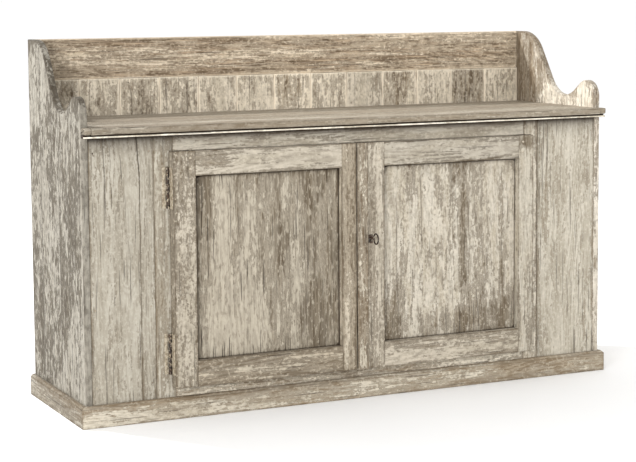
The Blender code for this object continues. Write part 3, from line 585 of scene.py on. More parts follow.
halves = []
for part, (left, right) in (("wide", (low.x, shake - SHAKE_GAP)), ("narrow", (shake + SHAKE_GAP, high.x))):
    strip = carried(worked_section([(left, low.y), (right, low.y), (right, high.y), (left, high.y)],
            0.0005), Z, (low.z, high.z), 0.0010, seed_of(part))
    height = strip["points"][:, 2]
    opened = SHAKE_OPENING * np.clip((height - (high.z - SHAKE_OPEN_LENGTH)) / SHAKE_OPEN_LENGTH, 0, 1)
    lean = shake_line(height) - shake + opened * (-1 if part == "wide" else 1)
    share = (strip["points"][:, 0] - left) / (right - left)
    strip["points"][:, 0] += lean * (share if part == "wide" else 1 - share)
    strip["grain"][:, 1] += left - low.x
    halves.append(strip)
# Painted shadow under the bead on the uprights and the head rail: its height, and the reach and strength of
# its line and band.
BOARD_TOP, RAIL_TOP = 0.888, 0.071          # up the uprights and across the head rail, to the bead
EVERYWHERE = 9.0                            # a reach far past both ends of any board
SHADOW_BANDS = ((0.014, 1.0), (0.040, 0.5))   # reach and strength of the line and of the band


def shadow_under_bead(across):
    """Painted shadow under the bead on an upright, as a dark line in a softer band."""
    return tuple((BOARD_TOP, across, reach, EVERYWHERE, strength) for reach, strength in SHADOW_BANDS)


# The front boards' finish carries the painted shadow under the bead, as do the right stile and the head
# rail.
front_light = dict(paint=(214, 206, 189), soiled=(194, 185, 167), light=(172, 160, 140), specks=0.1,
    drifts=0.6, grime_and_shade=0.08, painted_shade=shadow_under_bead(0.10), dark=(132, 116, 93), grey=(156, 145, 126))
finish = painted_pine("left_front_paint", 21, shade=0.59, patch=(0.30, 0.030), bare=-0.10, wash=0.75,
    streaks=0.5, knots=((0.46, 0.115, 0.008),), **front_light)
assemble("left_front_boards", halves, finish, "cabinet", "painted_pine", "left_front_board")
board("right_front_board", Z, painted_pine("right_front_paint", 29, shade=0.79, patch=(0.22, 0.030),
        bare=-0.14, wash=0.8, streaks=0.5, **front_light))
board("left_frame_stile", Z, painted_pine("left_stile_paint", 33, shade=0.69, patch=(0.30, 0.030),
        bare=-0.08, wash=0.75, **front_light), radius=0.0005, wear=0.5)
board("right_frame_stile", Z, painted_pine("right_stile_paint", 35, patch=(0.20, 0.022), bare=-0.05,
        wash=0.7, streaks=0.5, painted_shade=shadow_under_bead(0.03)))
board("top_rail", X, painted_pine("head_rail_paint", 37, shade=1.0, patch=(0.20, 0.030), bare=-0.16,
        wash=0.8, specks=0.15, drifts=0.6, flakes=0.5, grime_and_shade=0.08,
        painted_shade=tuple((0.6, RAIL_TOP, EVERYWHERE, reach, strength) for reach, strength in SHADOW_BANDS)))
board("sill_rail", X, painted_pine("sill_rail_paint", 39, patch=(0.20, 0.022), bare=-0.02, wash=0.7))
board("centre_post", Z, painted_pine("post_paint", 41, bare=0.02))


# ==== Back =======================================================================================
# Rough upright boards of random width nailed across the back of the case, never painted, only
# limed by what ran down behind, and darker than the front.
BACK_BOARDS = 9
low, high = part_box("back_panel")
BACK_SEED, SLAT_SEED = 12, 31
draw = np.random.default_rng(BACK_SEED)
widths = draw.uniform(0.8, 1.25, BACK_BOARDS)
back_edges = low.x + np.concatenate([[0.0], np.cumsum(widths)]) / widths.sum() * (high.x - low.x)
rough = dict(patch=(0.35, 0.05), bare=0.22, wash=0.25, specks=0.12, grain=(8.0, 90.0),
    light=(150, 131, 106), dark=(103, 84, 62), grey=(128, 116, 98), checks=0.8)
for number, (left, right) in enumerate(zip(back_edges[:-1], back_edges[1:])):
    drop = 0.002 * draw.uniform()
    plank_low = Vector((left + 0.0005, low.y, low.z))
    plank_high = Vector((right - 0.0005, high.y, high.z - drop))
    run = carried(worked_section(rectangle(plank_low, plank_high, Z), 0.0016), Z,
        (plank_low.z, plank_high.z), 0.0012, 600 + number, wear=1.4)
    finish = painted_pine(f"back_board_{number + 1}_finish", 60 + number, **rough)
    made = assemble(f"back_board_{number + 1}", [run], finish, "cabinet", "worn_pine")
    if number == 0:
        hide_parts("back_panel")


# ==== Counter top and bead =======================================================================
# A wide board, planed and worn smooth by use, that runs over the front and between the gables, with
# its nose rounded over, and a small half-round bead nailed up under the nose.
low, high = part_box("top_board")
inside = -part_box("gallery_board")[0].x
NOSE_ROUND = 0.0040
top_corners = [(low.y, low.z), (high.y, low.z), (high.y, high.z), (low.y, high.z)]
counter = carried(worked_section(top_corners, NOSE_ROUND), X, (-inside, inside), 0.0010, 71, step=0.022,
    joints=(0.17, 0.36))
nose_corners = [(low.y, low.z), (case_front - 0.0003, low.z), (case_front - 0.0003, high.z), (low.y, high.z)]
horns = []
for left, right in ((low.x, -inside - 0.0001), (inside + 0.0001, high.x)):
    horn = carried(worked_section(nose_corners, NOSE_ROUND), X, (left, right), 0.0050, 73)
    horn["grain"][:, 0] += left - low.x
    horns.append(horn)
counter["grain"][:, 0] += -inside - low.x
# Painted shade on the left end of the counter, where the left gable shadows it.
finish = painted_pine("counter_finish", 75, shade=0.86, painted_shade=((0.0, 0.2, 0.6, 0.6, 0.24),),
    patch=(0.50, 0.022), bare=0.07, wash=0.62, streaks=0.8, rub=-0.5, paint=(190, 180, 162),
    soiled=(172, 160, 141), light=(166, 153, 133), dark=(128, 114, 94), grey=(150, 139, 122), checks=0.8)
assemble("counter_top", [counter, *horns], finish, "cabinet", "worn_pine", "top_board")
QUIRK = 0.0042                              # groove between nose and bead, its height and depth
QUIRK_DEPTH = 0.010
low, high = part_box("top_bead")
bead_corners = [(low.y, low.z), (high.y, low.z), (high.y, high.z), (low.y + QUIRK_DEPTH, high.z),
    (low.y + QUIRK_DEPTH, high.z - QUIRK), (low.y, high.z - QUIRK)]
bead = carried(worked_section(bead_corners, 0.0014), X, (low.x, high.x), 0.0012, 79)
# Faces in the quirk, on the bead's top, underside and back get no distance from an arris, so they are
# painted dark: painted shadow.
shaded_faces = ((bead["points"][:, 1] > low.y + 0.5 * QUIRK_DEPTH) | (bead["points"][:, 2] < low.z + 0.0012)
    | (bead["points"][:, 2] > high.z - QUIRK - 0.0004))
bead["edge"] = np.where(shaded_faces, 0.0, 0.01)
finish = painted_pine("bead_paint", 77, bare=-0.30, rub=0.0, specks=0.3, paint=(240, 232, 216), grime_and_shade=1.0)
assemble("nose_bead", [bead], finish, "cabinet", "painted_pine", "top_bead")


# ==== Gallery ====================================================================================
# A low back above the counter: thirteen narrow upright boards, every one a different tone, under one
# long horizontal board with its own rough figure, nailed between the gables.
# Painted shade towards the left end of the gallery board, and lighter paint kept along its arrises: a
# painted highlight.
board("gallery_board", X, painted_pine("gallery_finish", 81, shade=1.29,
        painted_shade=((0.3, 0.07, 0.5, 0.3, 0.16),), patch=(0.30, 0.016), bare=0.10, wash=0.6, streaks=0.8,
        rub=-0.4, arris_highlight=0.5, drifts=0.7, paint=(200, 186, 165), soiled=(180, 165, 142),
        light=(171, 151, 127), dark=(84, 69, 51), flakes=0.9, grey=(150, 137, 118), grime_and_shade=0.0,
        knots=((0.62, 0.05, 0.007), (1.31, 0.09, 0.006))), slot="worn_pine")
SLAT_PITCH = 0.1405
SLAT_SHADE = 1.12
low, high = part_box("gallery_slats")
joints = high.x - SLAT_PITCH * np.arange(math.floor((high.x - low.x) / SLAT_PITCH), 0, -1)
edges = np.concatenate([[low.x], joints[joints > low.x + 0.02], [high.x]])
draw = np.random.default_rng(SLAT_SEED)
for number, (left, right) in enumerate(zip(edges[:-1], edges[1:])):
    worn = draw.uniform(-0.12, 0.10)
    shade = SLAT_SHADE * draw.uniform(0.86, 1.12)
    slat_low = Vector((left + 0.0003, low.y + 0.0012 * draw.uniform(), low.z))
    slat_high = Vector((right - 0.0003, high.y, high.z - 0.001 * draw.uniform()))
    run = carried(worked_section(rectangle(slat_low, slat_high, Z), 0.0016), Z, (slat_low.z, slat_high.z),
        0.0014, 700 + number, wear=1.3)
    # Paint is kept along the slats' arrises and painted lighter there: a painted highlight along each.
    finish = painted_pine(f"slat_{number + 1}_finish", 90 + number, patch=(0.08, 0.030), bare=worn,
        wash=0.85, rub=-0.8, grime_and_shade=0.0, arris_highlight=0.9, drifts=0.7, grain=(22.0, 70.0), shade=shade,
        paint=(210, 199, 180), light=(160, 146, 124), dark=(84, 69, 52), flakes=0.6)
    made = assemble(f"gallery_slat_{number + 1}", [run], finish, "cabinet", "worn_pine")
    if number == 0:
        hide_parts("gallery_slats")


# ==== Doors ======================================================================================
# Thick framed doors that lie over the face frame: stiles the full height, rails tenoned between
# them and pegged, and a flat panel of glued boards sunk into a rebate from behind.
PANEL_REBATE = (0.0083, 0.0143)            # width under the panel, and depth from the door's back
# Painted shadow that the top rail and the left stile cast on each panel, wider at the left and the top than
# the painted shade at its other sides.
PANEL_SHADOW_SPREAD = 0.55                                # soot reaches 1 / PANEL_SHADOW_SPREAD as far in from the left and the top
PANEL_SHADOW_STARTS = (0.0165, 0.0115)              # and lies thick this far in from the panel's left and top


def notched(corners, which, first, second):
    """Section with one corner of the rectangle rebated by (first, second)."""
    a0, b0 = corners[0]
    a1, b1 = corners[2]
    cuts = {
        1: [(a1 - first, b0), (a1 - first, b0 + second), (a1, b0 + second)],
        2: [(a1, b1 - second), (a1 - first, b1 - second), (a1 - first, b1)],
        3: [(a0 + first, b1), (a0 + first, b1 - second), (a0, b1 - second)],
    }
    return corners[:which] + cuts[which] + corners[which + 1:]


def door_member(node, body, axis, corner, finish, left_trim=0.0):
    """Stile or rail in place of its node, rebated at one corner of its section for the panel."""
    low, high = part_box(node)
    low.x += left_trim
    cut = PANEL_REBATE if axis == Z else PANEL_REBATE[::-1]
    section = worked_section(notched(rectangle(low, high, axis), corner, *cut), 0.0009)
    run = carried(section, axis, (low[axis], high[axis]), 0.0004 if axis == X else 0.0014, seed_of(node),
        wear=0.8)
    if axis == X:
        run["edge"] = np.tile(section["away"], len(run["edge"]) // len(section["away"]))
    return assemble(f"{node}_pine", [run], finish, body, "painted_pine", node)


def door_panel(node, body, joints, finish):
    """Sunk panel of glued boards: each joint is a shallow V in the section's front and back."""
    low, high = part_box(node)
    groove, deep = 0.0011, 0.0009
    front = [(low.x, low.y)]
    back = [(high.x, high.y)]
    for joint in joints:
        x = low.x + joint
        front += [(x - groove, low.y), (x, low.y + deep), (x + groove, low.y)]
    for joint in joints[::-1]:
        x = low.x + joint
        back += [(x + groove, high.y), (x, high.y - deep), (x - groove, high.y)]
    corners = front + [(high.x, low.y)] + back + [(low.x, high.y)]
    run = carried(worked_section(corners, 0.0003), Z, (low.z, high.z), 0.0008, seed_of(node), joints=joints)
    rise, across = run["grain"][:, 0], run["grain"][:, 1]
    # Distance for painted shade: wide on the left and the top, where the rail and stile shadow the panel,
    # narrow on the other two sides.
    shadowed_sides = PANEL_SHADOW_SPREAD * np.minimum(across - PANEL_SHADOW_STARTS[0], high.z - low.z - PANEL_SHADOW_STARTS[1] - rise)
    other_sides = np.minimum(high.x - low.x - PANEL_REBATE[0] - across, rise - PANEL_REBATE[0])
    run["edge"] = np.maximum(np.minimum(shadowed_sides, other_sides), 0.0)
    return assemble(f"{node}_boards", [run], finish, body, "painted_pine", node)


door_wood = dict(light=(162, 149, 128), dark=(104, 90, 71), grey=(142, 132, 116))
member_wood = dict(door_wood, grime_and_shade=0.08)
REBATED_CORNER = {"outer_stile": 2, "inner_stile": 3, "top_rail": 1, "bottom_rail": 2}
MEMBER_LOOKS = {
    ("left", "outer_stile"): dict(shade=0.68, patch=(0.10, 0.034), bare=0.0, wash=0.6, grain=(50.0, 85.0),
        fleck=(85.0, 100.0), specks=0.6, drifts=0.6, paint=(208, 197, 178)),
    ("left", "inner_stile"): dict(shade=0.85, patch=(0.24, 0.030), bare=0.08, wash=0.8, streaks=0.4,
        flakes=0.4, specks=0.15, paint=(203, 191, 170)),
    ("left", "top_rail"): dict(shade=0.67, drifts=0.6, specks=0.15, patch=(0.16, 0.024), bare=-0.10,
        wash=0.7, knots=((0.10, 0.05, 0.007),), spots=((0.06, 0.04, 0.07, 0.03, -0.22),),
        paint=(213, 202, 183)),
    ("left", "bottom_rail"): dict(shade=0.81, patch=(0.16, 0.016), bare=0.16, wash=0.45, streaks=0.7,
        knots=((0.33, 0.04, 0.007),), paint=(196, 182, 160)),
    ("right", "inner_stile"): dict(shade=0.73, patch=(0.30, 0.020), bare=-0.04, wash=0.7, streaks=0.5,
        drifts=0.6, spots=((0.35, 0.055, 0.9, 0.012, -0.20),), paint=(210, 199, 180)),
    ("right", "outer_stile"): dict(shade=0.74, patch=(0.20, 0.024), bare=-0.12, wash=0.75, drifts=0.5,
        specks=0.2, spots=((0.715, 0.03, 0.022, 0.03, -0.55),), paint=(214, 205, 187)),
    ("right", "top_rail"): dict(shade=0.63, drifts=0.6, specks=0.15, patch=(0.20, 0.020), bare=-0.10,
        wash=0.75, paint=(213, 203, 185)),
    ("right", "bottom_rail"): dict(shade=0.79, patch=(0.24, 0.018), bare=-0.03, wash=0.65, streaks=0.6,
        paint=(207, 196, 177)),
}
for number, ((side, member), look) in enumerate(MEMBER_LOOKS.items()):
    finish = painted_pine(f"{side}_{member}_paint", 101 + 2 * number, **look, **member_wood)
    left_trim = 0.0015 if (side, member) == ("right", "inner_stile") else 0.0
    door_member(f"{side}_door_{member}", f"{side}_door", Z if "stile" in member else X,
        REBATED_CORNER[member], finish, left_trim)
# Strong grime on both panels paints the shade along their sunk edges.
door_panel("left_door_panel", "left_door", (0.150, 0.335), painted_pine("left_panel_paint", 117,
        shade=0.68, patch=(0.20, 0.030), bare=0.06, wash=0.9, streaks=0.4, flakes=0.6, grain=(7.0, 115.0),
        fleck=(40.0, 100.0), specks=0.5, checks=0.8, grime_and_shade=1.6, drifts=1.1, knots=((0.49, 0.085, 0.010),
            (0.30, 0.31, 0.005)), spots=((0.12, 0.12, 0.13, 0.14, 0.16), (0.10, 0.40, 0.08, 0.07, -0.25),
            (0.30, 0.06, 0.16, 0.05, 0.10)), paint=(205, 194, 174), rub=0.5, **door_wood))
door_panel("right_door_panel", "right_door", (0.165, 0.340), painted_pine("right_panel_paint", 119,
        shade=0.79, patch=(0.14, 0.030), bare=-0.10, wash=0.7, streaks=0.4, flakes=0.7,
        grain=(16.0, 85.0), specks=0.4, checks=0.5, grime_and_shade=1.6, drifts=1.1,
        spots=((0.36, 0.315, 0.20, 0.012, -0.45), (0.34, 0.465, 0.24, 0.014, -0.40),
            (0.12, 0.05, 0.14, 0.05, -0.26), (0.05, 0.30, 0.045, 0.18, -0.32)),
        knots=((0.50, 0.40, 0.008),), paint=(216, 207, 190), rub=0.5, **door_wood))


# ==== Closing strip ==============================================================================
# A thin lath nailed down the right door's meeting stile to cover the gap between the doors. Hands
# have flaked it more than any other piece.
board("closing_strip", Z, painted_pine("strip_paint", 131, shade=0.83, patch=(0.05, 0.014), bare=0.03,
        wash=0.4, paint=(214, 204, 184), dark=(104, 86, 64)), body="right_door", radius=0.0016, wear=1.2)


# ==== Bottom, insulation and zinc lining =========================================================
# Pressed cork fills the walls behind thin zinc sheet, which is folded at the corners, tacked to the
# boards and soldered, and has gone dull and spotted with white oxide. A pipe drains the floor.
def of_object(recipe, scale):
    """The piece's own coordinates, stretched."""
    where = recipe.add("ShaderNodeTexCoord", {}, output=3)
    return recipe.scaled(where, (scale, scale, scale))


def pressed_cork(name):
    """Cork granules pressed together: cells of a Voronoi pattern, each its own brown."""
    recipe = Recipe(name)
    place = of_object(recipe, 1.0)
    cells = recipe.tree.nodes.new("ShaderNodeTexVoronoi")
    recipe.feed(cells.inputs["Vector"], place)
    cells.inputs["Scale"].default_value = 260.0
    shade = recipe.add("ShaderNodeSeparateColor", {0: cells.outputs["Color"]})
    colour = recipe.mix(shade, tone(92, 62, 36), tone(156, 114, 72))
    colour = recipe.mix(recipe.step(cells.outputs["Distance"], 0.35, 0.75, 0.0, 0.7), colour,
        tone(58, 36, 20))
    height = recipe.sum("MULTIPLY", cells.outputs["Distance"], -0.0008)
    return recipe.finish(colour, 0.95, recipe.relief(height))


def dull_zinc(name):
    """Old zinc sheet: clouds of grey patina, blooms of white oxide and fine scratches."""
    recipe = Recipe(name)
    cloud = recipe.noise(of_object(recipe, 9.0), detail=5.0, roughness=0.65)
    bloom = recipe.noise(of_object(recipe, 38.0), detail=4.0, roughness=0.7)
    scratch = recipe.noise(recipe.scaled(of_object(recipe, 1.0), (300.0, 300.0, 18.0)), detail=2.0)
    colour = recipe.mix(recipe.step(cloud, 0.35, 0.65), tone(128, 132, 134), tone(160, 164, 165))
    oxide = recipe.step(bloom, 0.56, 0.68, 0.0, 0.6)
    colour = recipe.mix(oxide, colour, tone(198, 200, 197))
    colour = recipe.mix(recipe.step(scratch, 0.62, 0.72, 0.0, 0.3), colour, tone(98, 101, 104))
    dullness = recipe.sum("MULTIPLY", oxide, 0.4)
    roughness = recipe.sum("ADD", recipe.step(cloud, 0.3, 0.7, 0.38, 0.58), dullness)
    height = recipe.sum("MULTIPLY_ADD", cloud, 0.0012, recipe.sum("MULTIPLY", oxide, 0.0001))
    return recipe.finish(colour, roughness, recipe.relief(height), metallic=0.75)


def dress(names, finish):
    """Give nodes of the frame that keep their own shape a proper finish."""
    for name in names:
        nodes[name].data.materials.clear()
        nodes[name].data.materials.append(finish)


dress([f"{part}_insulation" for part in ("back", "left", "right", "floor", "ceiling")], pressed_cork("cork"))
lining_zinc = dull_zinc("lining_zinc")
dress(["back_liner", "left_liner", "right_liner", "floor_liner", "drain_pipe"], lining_zinc)
dress(["left_door_plug", "right_door_plug"], lining_zinc)

bare_wood = dict(bare=3.0, wash=0.0, light=(186, 158, 116), dark=(140, 108, 70), grey=(164, 138, 100),
    rub=0.0)
board("floor_board", X, painted_pine("bottom_pine", 141, **bare_wood), slot="bare_pine")
board("partition", Z, painted_pine("partition_pine", 143, **bare_wood), slot="bare_pine")
liner_low, liner_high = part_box("back_liner")
ceiling_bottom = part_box("ceiling_insulation")[0].z
CEILING_SHEET = 0.0015
ceiling_box = (Vector((liner_low.x + 0.003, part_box("left_liner")[0].y + 0.052,
            ceiling_bottom - CEILING_SHEET)), Vector((liner_high.x - 0.003, liner_low.y - 0.001,
            ceiling_bottom - 0.0002)))
sheet = carried(worked_section(rectangle(*ceiling_box, X), 0.0005), X,
    (ceiling_box[0].x, ceiling_box[1].x), 0.0005, 145, step=0.05, wear=0.3)
assemble("ceiling_liner", [sheet], lining_zinc, "cabinet", "zinc_sheet")


# ==== Ice rack, shelves and their cleats =========================================================
# Bare pine slats nailed across bearers, loose so that they lift out. The rack keeps the ice off the
# zinc, and each shelf rests on two cleats.
RACK_SLATS, SLAT_WIDTH, SLAT_THICK = 8, 0.028, 0.014
RACK_BEARERS, BEARER_WIDTH = 5, 0.020
rack_pine = painted_pine("rack_pine", 151, **bare_wood)


def stick(low, high, axis, seed, step=0.05):
    """One planed stick between two corners."""
    return carried(worked_section(rectangle(low, high, axis), 0.0012), axis, (low[axis], high[axis]),
        0.0010, seed, step=step, wear=0.5)


for number, node in enumerate(("ice_rack", "lower_shelf", "upper_shelf")):
    low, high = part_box(node)
    split_z = high.z - SLAT_THICK
    pitch = (high.y - low.y - SLAT_WIDTH) / (RACK_SLATS - 1)
    spacing = (high.x - low.x - BEARER_WIDTH) / (RACK_BEARERS - 1)
    sticks = [stick(Vector((low.x, low.y + pitch * k, split_z)),
            Vector((high.x, low.y + pitch * k + SLAT_WIDTH, high.z)), X, 160 + 20 * number + k)
        for k in range(RACK_SLATS)]
    sticks += [stick(Vector((low.x + spacing * k, low.y, low.z)),
            Vector((low.x + spacing * k + BEARER_WIDTH, high.y, split_z - 0.0001)), Y,
            170 + 20 * number + k) for k in range(RACK_BEARERS)]
    for turn_number, one in enumerate(sticks):
        one["grain"][:, 2] += 0.21 * turn_number
    assemble(f"{node}_sticks", sticks, rack_pine, "cabinet", "bare_pine", node)
    if number:
        cleats = [stick(Vector((x, low.y, low.z - 0.0185)), Vector((x + 0.011, high.y, low.z - 0.0003)),
                Y, 190 + number) for x in (low.x, high.x - 0.011)]
        assemble(f"{node}_cleats", cleats, rack_pine, "cabinet", "bare_pine")


# ==== Felt seals =================================================================================
# Dense wool felt glued round each door's plug, to close the gap to the face frame. It is matted and
# has gone brown where the door presses on it.
def wool_felt(name):
    """Matted fibres: two fine noises, one drawn out sideways, for colour and nap."""
    recipe = Recipe(name)
    nap = recipe.noise(of_object(recipe, 900.0), detail=3.0)
    matt = recipe.noise(of_object(recipe, 120.0), detail=4.0, roughness=0.7)
    colour = recipe.mix(recipe.step(matt, 0.35, 0.65), tone(66, 58, 50), tone(104, 94, 82))
    colour = recipe.mix(recipe.step(nap, 0.55, 0.75, 0.0, 0.5), colour, tone(138, 128, 112))
    recipe.shader.inputs["Sheen Weight"].default_value = 0.3
    return recipe.finish(colour, 0.95, recipe.relief(recipe.sum("MULTIPLY", nap, 0.0006)))


dress(["left_door_gasket", "right_door_gasket"], wool_felt("felt"))


# ==== Iron butt hinges ===========================================================================
# Cast leaves with five knuckles on a pin. The flat leaves were painted over with the case, and only
# the knuckles have rubbed back to dark iron.
def old_iron(name, cover):
    """Dark oxidised iron under a share of chipped paint, from 0 for none."""
    recipe = Recipe(name)
    rust = recipe.noise(of_object(recipe, 90.0), detail=5.0, roughness=0.7)
    pits = recipe.noise(of_object(recipe, 420.0), detail=3.0, roughness=0.6)
    chips = recipe.noise(recipe.shifted(of_object(recipe, 130.0), (4.0, 1.0, 7.0)), detail=4.0,
        roughness=0.7)
    colour = recipe.mix(recipe.step(rust, 0.42, 0.66), tone(40, 33, 28), tone(76, 56, 41))
    paint = recipe.step(chips, 0.58 - 0.36 * cover, 0.61 - 0.36 * cover)
    old_paint = recipe.mix(recipe.step(rust, 0.40, 0.60), tone(184, 173, 152), tone(128, 114, 94))
    colour = recipe.mix(paint, colour, old_paint)
    metallic = recipe.sum("SUBTRACT", 0.25, recipe.sum("MULTIPLY", paint, 0.25))
    height = recipe.sum("MULTIPLY_ADD", pits, 0.0003, recipe.sum("MULTIPLY", paint, 0.0002))
    return recipe.finish(colour, recipe.step(rust, 0.3, 0.7, 0.5, 0.8), recipe.relief(height),
        metallic=metallic)


def turned(foot, axis, profile, sides=24):
    """Lathe work: a profile of (radius, place along the axis) spun round an axis through a foot."""
    profile = np.asarray(profile, float)
    angle = np.linspace(0, 2 * math.pi, sides, endpoint=False)
    points = np.zeros((len(profile), sides, 3)) + np.asarray(foot, float)
    points[..., axis] += profile[:, 1][:, None]
    points[..., (axis + 1) % 3] += profile[:, 0][:, None] * np.cos(angle)
    points[..., (axis + 2) % 3] += profile[:, 0][:, None] * np.sin(angle)
    index = np.arange(len(profile) * sides).reshape(len(profile), sides)
    after = np.roll(index, -1, axis=1)
    quads = np.stack([index[:-1], after[:-1], after[1:], index[1:]], axis=-1).reshape(-1, 4)
    flat = points.reshape(-1, 3)
    return skin(flat, quads, [index[0][::-1], index[-1]], flat - np.asarray(foot, float),
        np.full(len(flat), 0.01))


KNUCKLES, KNUCKLE_RADIUS, HINGE_PIN_OFFSET = 5, 0.0054, 0.006
KNUCKLE_BEVEL = 0.0005
LEAF_EDGES = (0.0062, 0.0168)               # frame leaf's edges, out from the pin
LEAF_FRONT, LEAF_BACK = 0.0022, 0.0003      # its faces, in front of the frame
SCREW = [(0.0030, 0.0), (0.0028, -0.0004), (0.0016, -0.0006)]
SCREW_SHARES = (0.14, 0.5, 0.86)            # places of the screws up the leaf
leaf_iron = old_iron("painted_leaf", 1.15)
knuckle_iron = old_iron("rubbed_knuckle", 0.10)
for side, way in (("left", -1), ("right", 1)):
    pin = Vector(next(joint["pos_m"] for joint in frame["joints"] if joint["name"] == f"{side}_door_hinge"))
    for level in ("upper", "lower"):
        node = f"{side}_{level}_frame_leaf"
        low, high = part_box(node)
        knuckle = (high.z - low.z) / KNUCKLES
        plate_x = sorted(pin.x + way * reach for reach in LEAF_EDGES)
        plate = stick(Vector((plate_x[0], case_front - LEAF_FRONT, low.z)),
            Vector((plate_x[1], case_front - LEAF_BACK, high.z)), Z, seed_of(node))
        screws = [turned((sum(plate_x) / 2, case_front - 0.0021, low.z + share * (high.z - low.z)), Y,
                SCREW, 12) for share in SCREW_SHARES]
        web_x = sorted((pin.x, pin.x + way * 0.0066))
        barrels = {0: [], 1: []}
        webs = []
        for number in range(KNUCKLES):
            top = high.z - knuckle * number - 0.0003
            bottom = top - knuckle + 0.0006
            barrels[number % 2].append(turned((pin.x, pin.y, 0.0), Z,
                    [(KNUCKLE_RADIUS - KNUCKLE_BEVEL, bottom), (KNUCKLE_RADIUS, bottom + KNUCKLE_BEVEL),
                        (KNUCKLE_RADIUS, top - KNUCKLE_BEVEL), (KNUCKLE_RADIUS - KNUCKLE_BEVEL, top)]))
            if number % 2 == 0:
                webs.append(stick(Vector((web_x[0], case_front - LEAF_FRONT, bottom)),
                        Vector((web_x[1], case_front - 0.0006, top)), Z, number))
        assemble(f"{node}_plate", [plate, *screws, *webs], leaf_iron, "cabinet", "dark_iron", node)
        assemble(f"{side}_{level}_frame_knuckles", barrels[0], knuckle_iron, "cabinet", "dark_iron")
        face_x = sorted((pin.x - way * (HINGE_PIN_OFFSET - 0.0003),
                pin.x - way * (HINGE_PIN_OFFSET - 0.0021)))
        leaf = stick(Vector((face_x[0], pin.y - 0.0298, low.z)),
            Vector((face_x[1], pin.y - 0.0061, high.z)), Z, seed_of(node) + 1)
        door_webs = [stick(Vector((face_x[0], pin.y - 0.0065, high.z - knuckle * (k + 1) + 0.0003)),
                Vector((face_x[1], pin.y, high.z - knuckle * k - 0.0003)), Z, k) for k in (1, 3)]
        assemble(f"{side}_{level}_door_leaf_iron", [leaf, *door_webs], leaf_iron, f"{side}_door",
            "dark_iron", f"{side}_{level}_door_leaf")
        assemble(f"{side}_{level}_door_knuckles", barrels[1], knuckle_iron, f"{side}_door", "dark_iron")


# ==== Lock, escutcheon and key ===================================================================
# A mortise lock in the right door, shot by a small iron key with a ring bow, which stands in a plain
# escutcheon; its bolt enters a mortise in the left door, held in turn by a flush bolt.
key_iron = old_iron("key_iron", 0.0)
dress(["escutcheon", "lock_case"], key_iron)


def worn_steel(name):
    """Bolt steel, polished by sliding and stained in clouds."""
    recipe = Recipe(name)
    stain = recipe.noise(of_object(recipe, 70.0), detail=4.0, roughness=0.65)
    rubbing = recipe.noise(recipe.scaled(of_object(recipe, 1.0), (40.0, 900.0, 900.0)), detail=2.0)
    colour = recipe.mix(recipe.step(stain, 0.4, 0.65), tone(132, 128, 122), tone(84, 74, 62))
    roughness = recipe.step(rubbing, 0.3, 0.7, 0.28, 0.5)
    return recipe.finish(colour, roughness, recipe.relief(recipe.sum("MULTIPLY", rubbing, 0.00008)),
        metallic=0.9)


dress(["lock_bolt", "flush_bolt"], worn_steel("bolt_steel"))


def vertices_of(mesh):
    """Vertex coordinates of a mesh, one row each."""
    places = np.empty((len(mesh.vertices), 3), np.float32)
    mesh.vertices.foreach_get("co", places.ravel())
    return places.astype(float)


def chisel(piece, low, high):
    """Cut the box between two corners out of a piece, and give the new corners their grain."""
    corners = np.array([(x, y, z) for x in (low.x, high.x) for y in (low.y, high.y)
            for z in (low.z, high.z)])
    sides = [(0, 1, 3, 2), (4, 6, 7, 5), (0, 4, 5, 1), (2, 3, 7, 6), (0, 2, 6, 4), (1, 5, 7, 3)]
    block = bpy.data.meshes.new("waste")
    block.from_pydata(corners.tolist(), [], sides)
    waste = bpy.data.objects.new("waste", block)
    bpy.context.scene.collection.objects.link(waste)
    cut = piece.modifiers.new("cut", "BOOLEAN")
    cut.solver = "EXACT"
    cut.operation = "DIFFERENCE"
    cut.object = waste
    bpy.context.view_layer.update()
    sharp = bpy.data.meshes.new_from_object(piece.evaluated_get(bpy.context.evaluated_depsgraph_get()))
    piece.modifiers.clear()
    bpy.data.objects.remove(waste)
    bpy.data.meshes.remove(block)
    old = piece.data
    origin = vertices_of(old).min(0)
    piece.data = sharp
    sharp.name = old.name
    bpy.data.meshes.remove(old)
    places = vertices_of(sharp)
    fresh = ((places > np.array(low) - 0.0001) & (places < np.array(high) + 0.0001)).all(1)
    grain = np.empty((len(places), 3), np.float32)
    sharp.attributes["grain"].data.foreach_get("vector", grain.ravel())
    edge = np.empty(len(places), np.float32)
    sharp.attributes["edge"].data.foreach_get("value", edge)
    grain[fresh] = (places - origin)[fresh][:, [2, 0, 1]]
    edge[fresh] = 0.01
    sharp.attributes["grain"].data.foreach_set("vector", grain.ravel())
    sharp.attributes["edge"].data.foreach_set("value", edge)
    sharp.set_sharp_from_angle(angle=math.radians(50))


ROOM = Vector((0.0005, 0.0005, 0.0005))     # play round the lock in its pocket
MORTISE_ROOM = Vector((0.0015, 0.0015, 0.0035))
BOLT_THROW = 0.012
KEYHOLE = Vector((0.0027, 0.05, 0.0130))    # half width, depth, and drop below the key's axis
key_place = Vector(next(joint["pos_m"] for joint in frame["joints"] if joint["name"] == "key_turn"))
case_low, case_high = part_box("lock_case")
bolt_low, bolt_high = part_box("lock_bolt")
lock_stile = bpy.data.objects["right_door_inner_stile_pine"]
keeper_stile = bpy.data.objects["left_door_inner_stile_pine"]
stile_low, stile_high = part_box("right_door_inner_stile")
keeper_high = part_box("left_door_inner_stile")[1]
chisel(lock_stile, case_low - ROOM, Vector((case_high.x, stile_high.y + 0.01, case_high.z)) + ROOM)
chisel(lock_stile, Vector((stile_low.x - 0.01, bolt_low.y, bolt_low.z)) - ROOM,
    Vector((case_low.x + 0.002, bolt_high.y, bolt_high.z)) + ROOM)
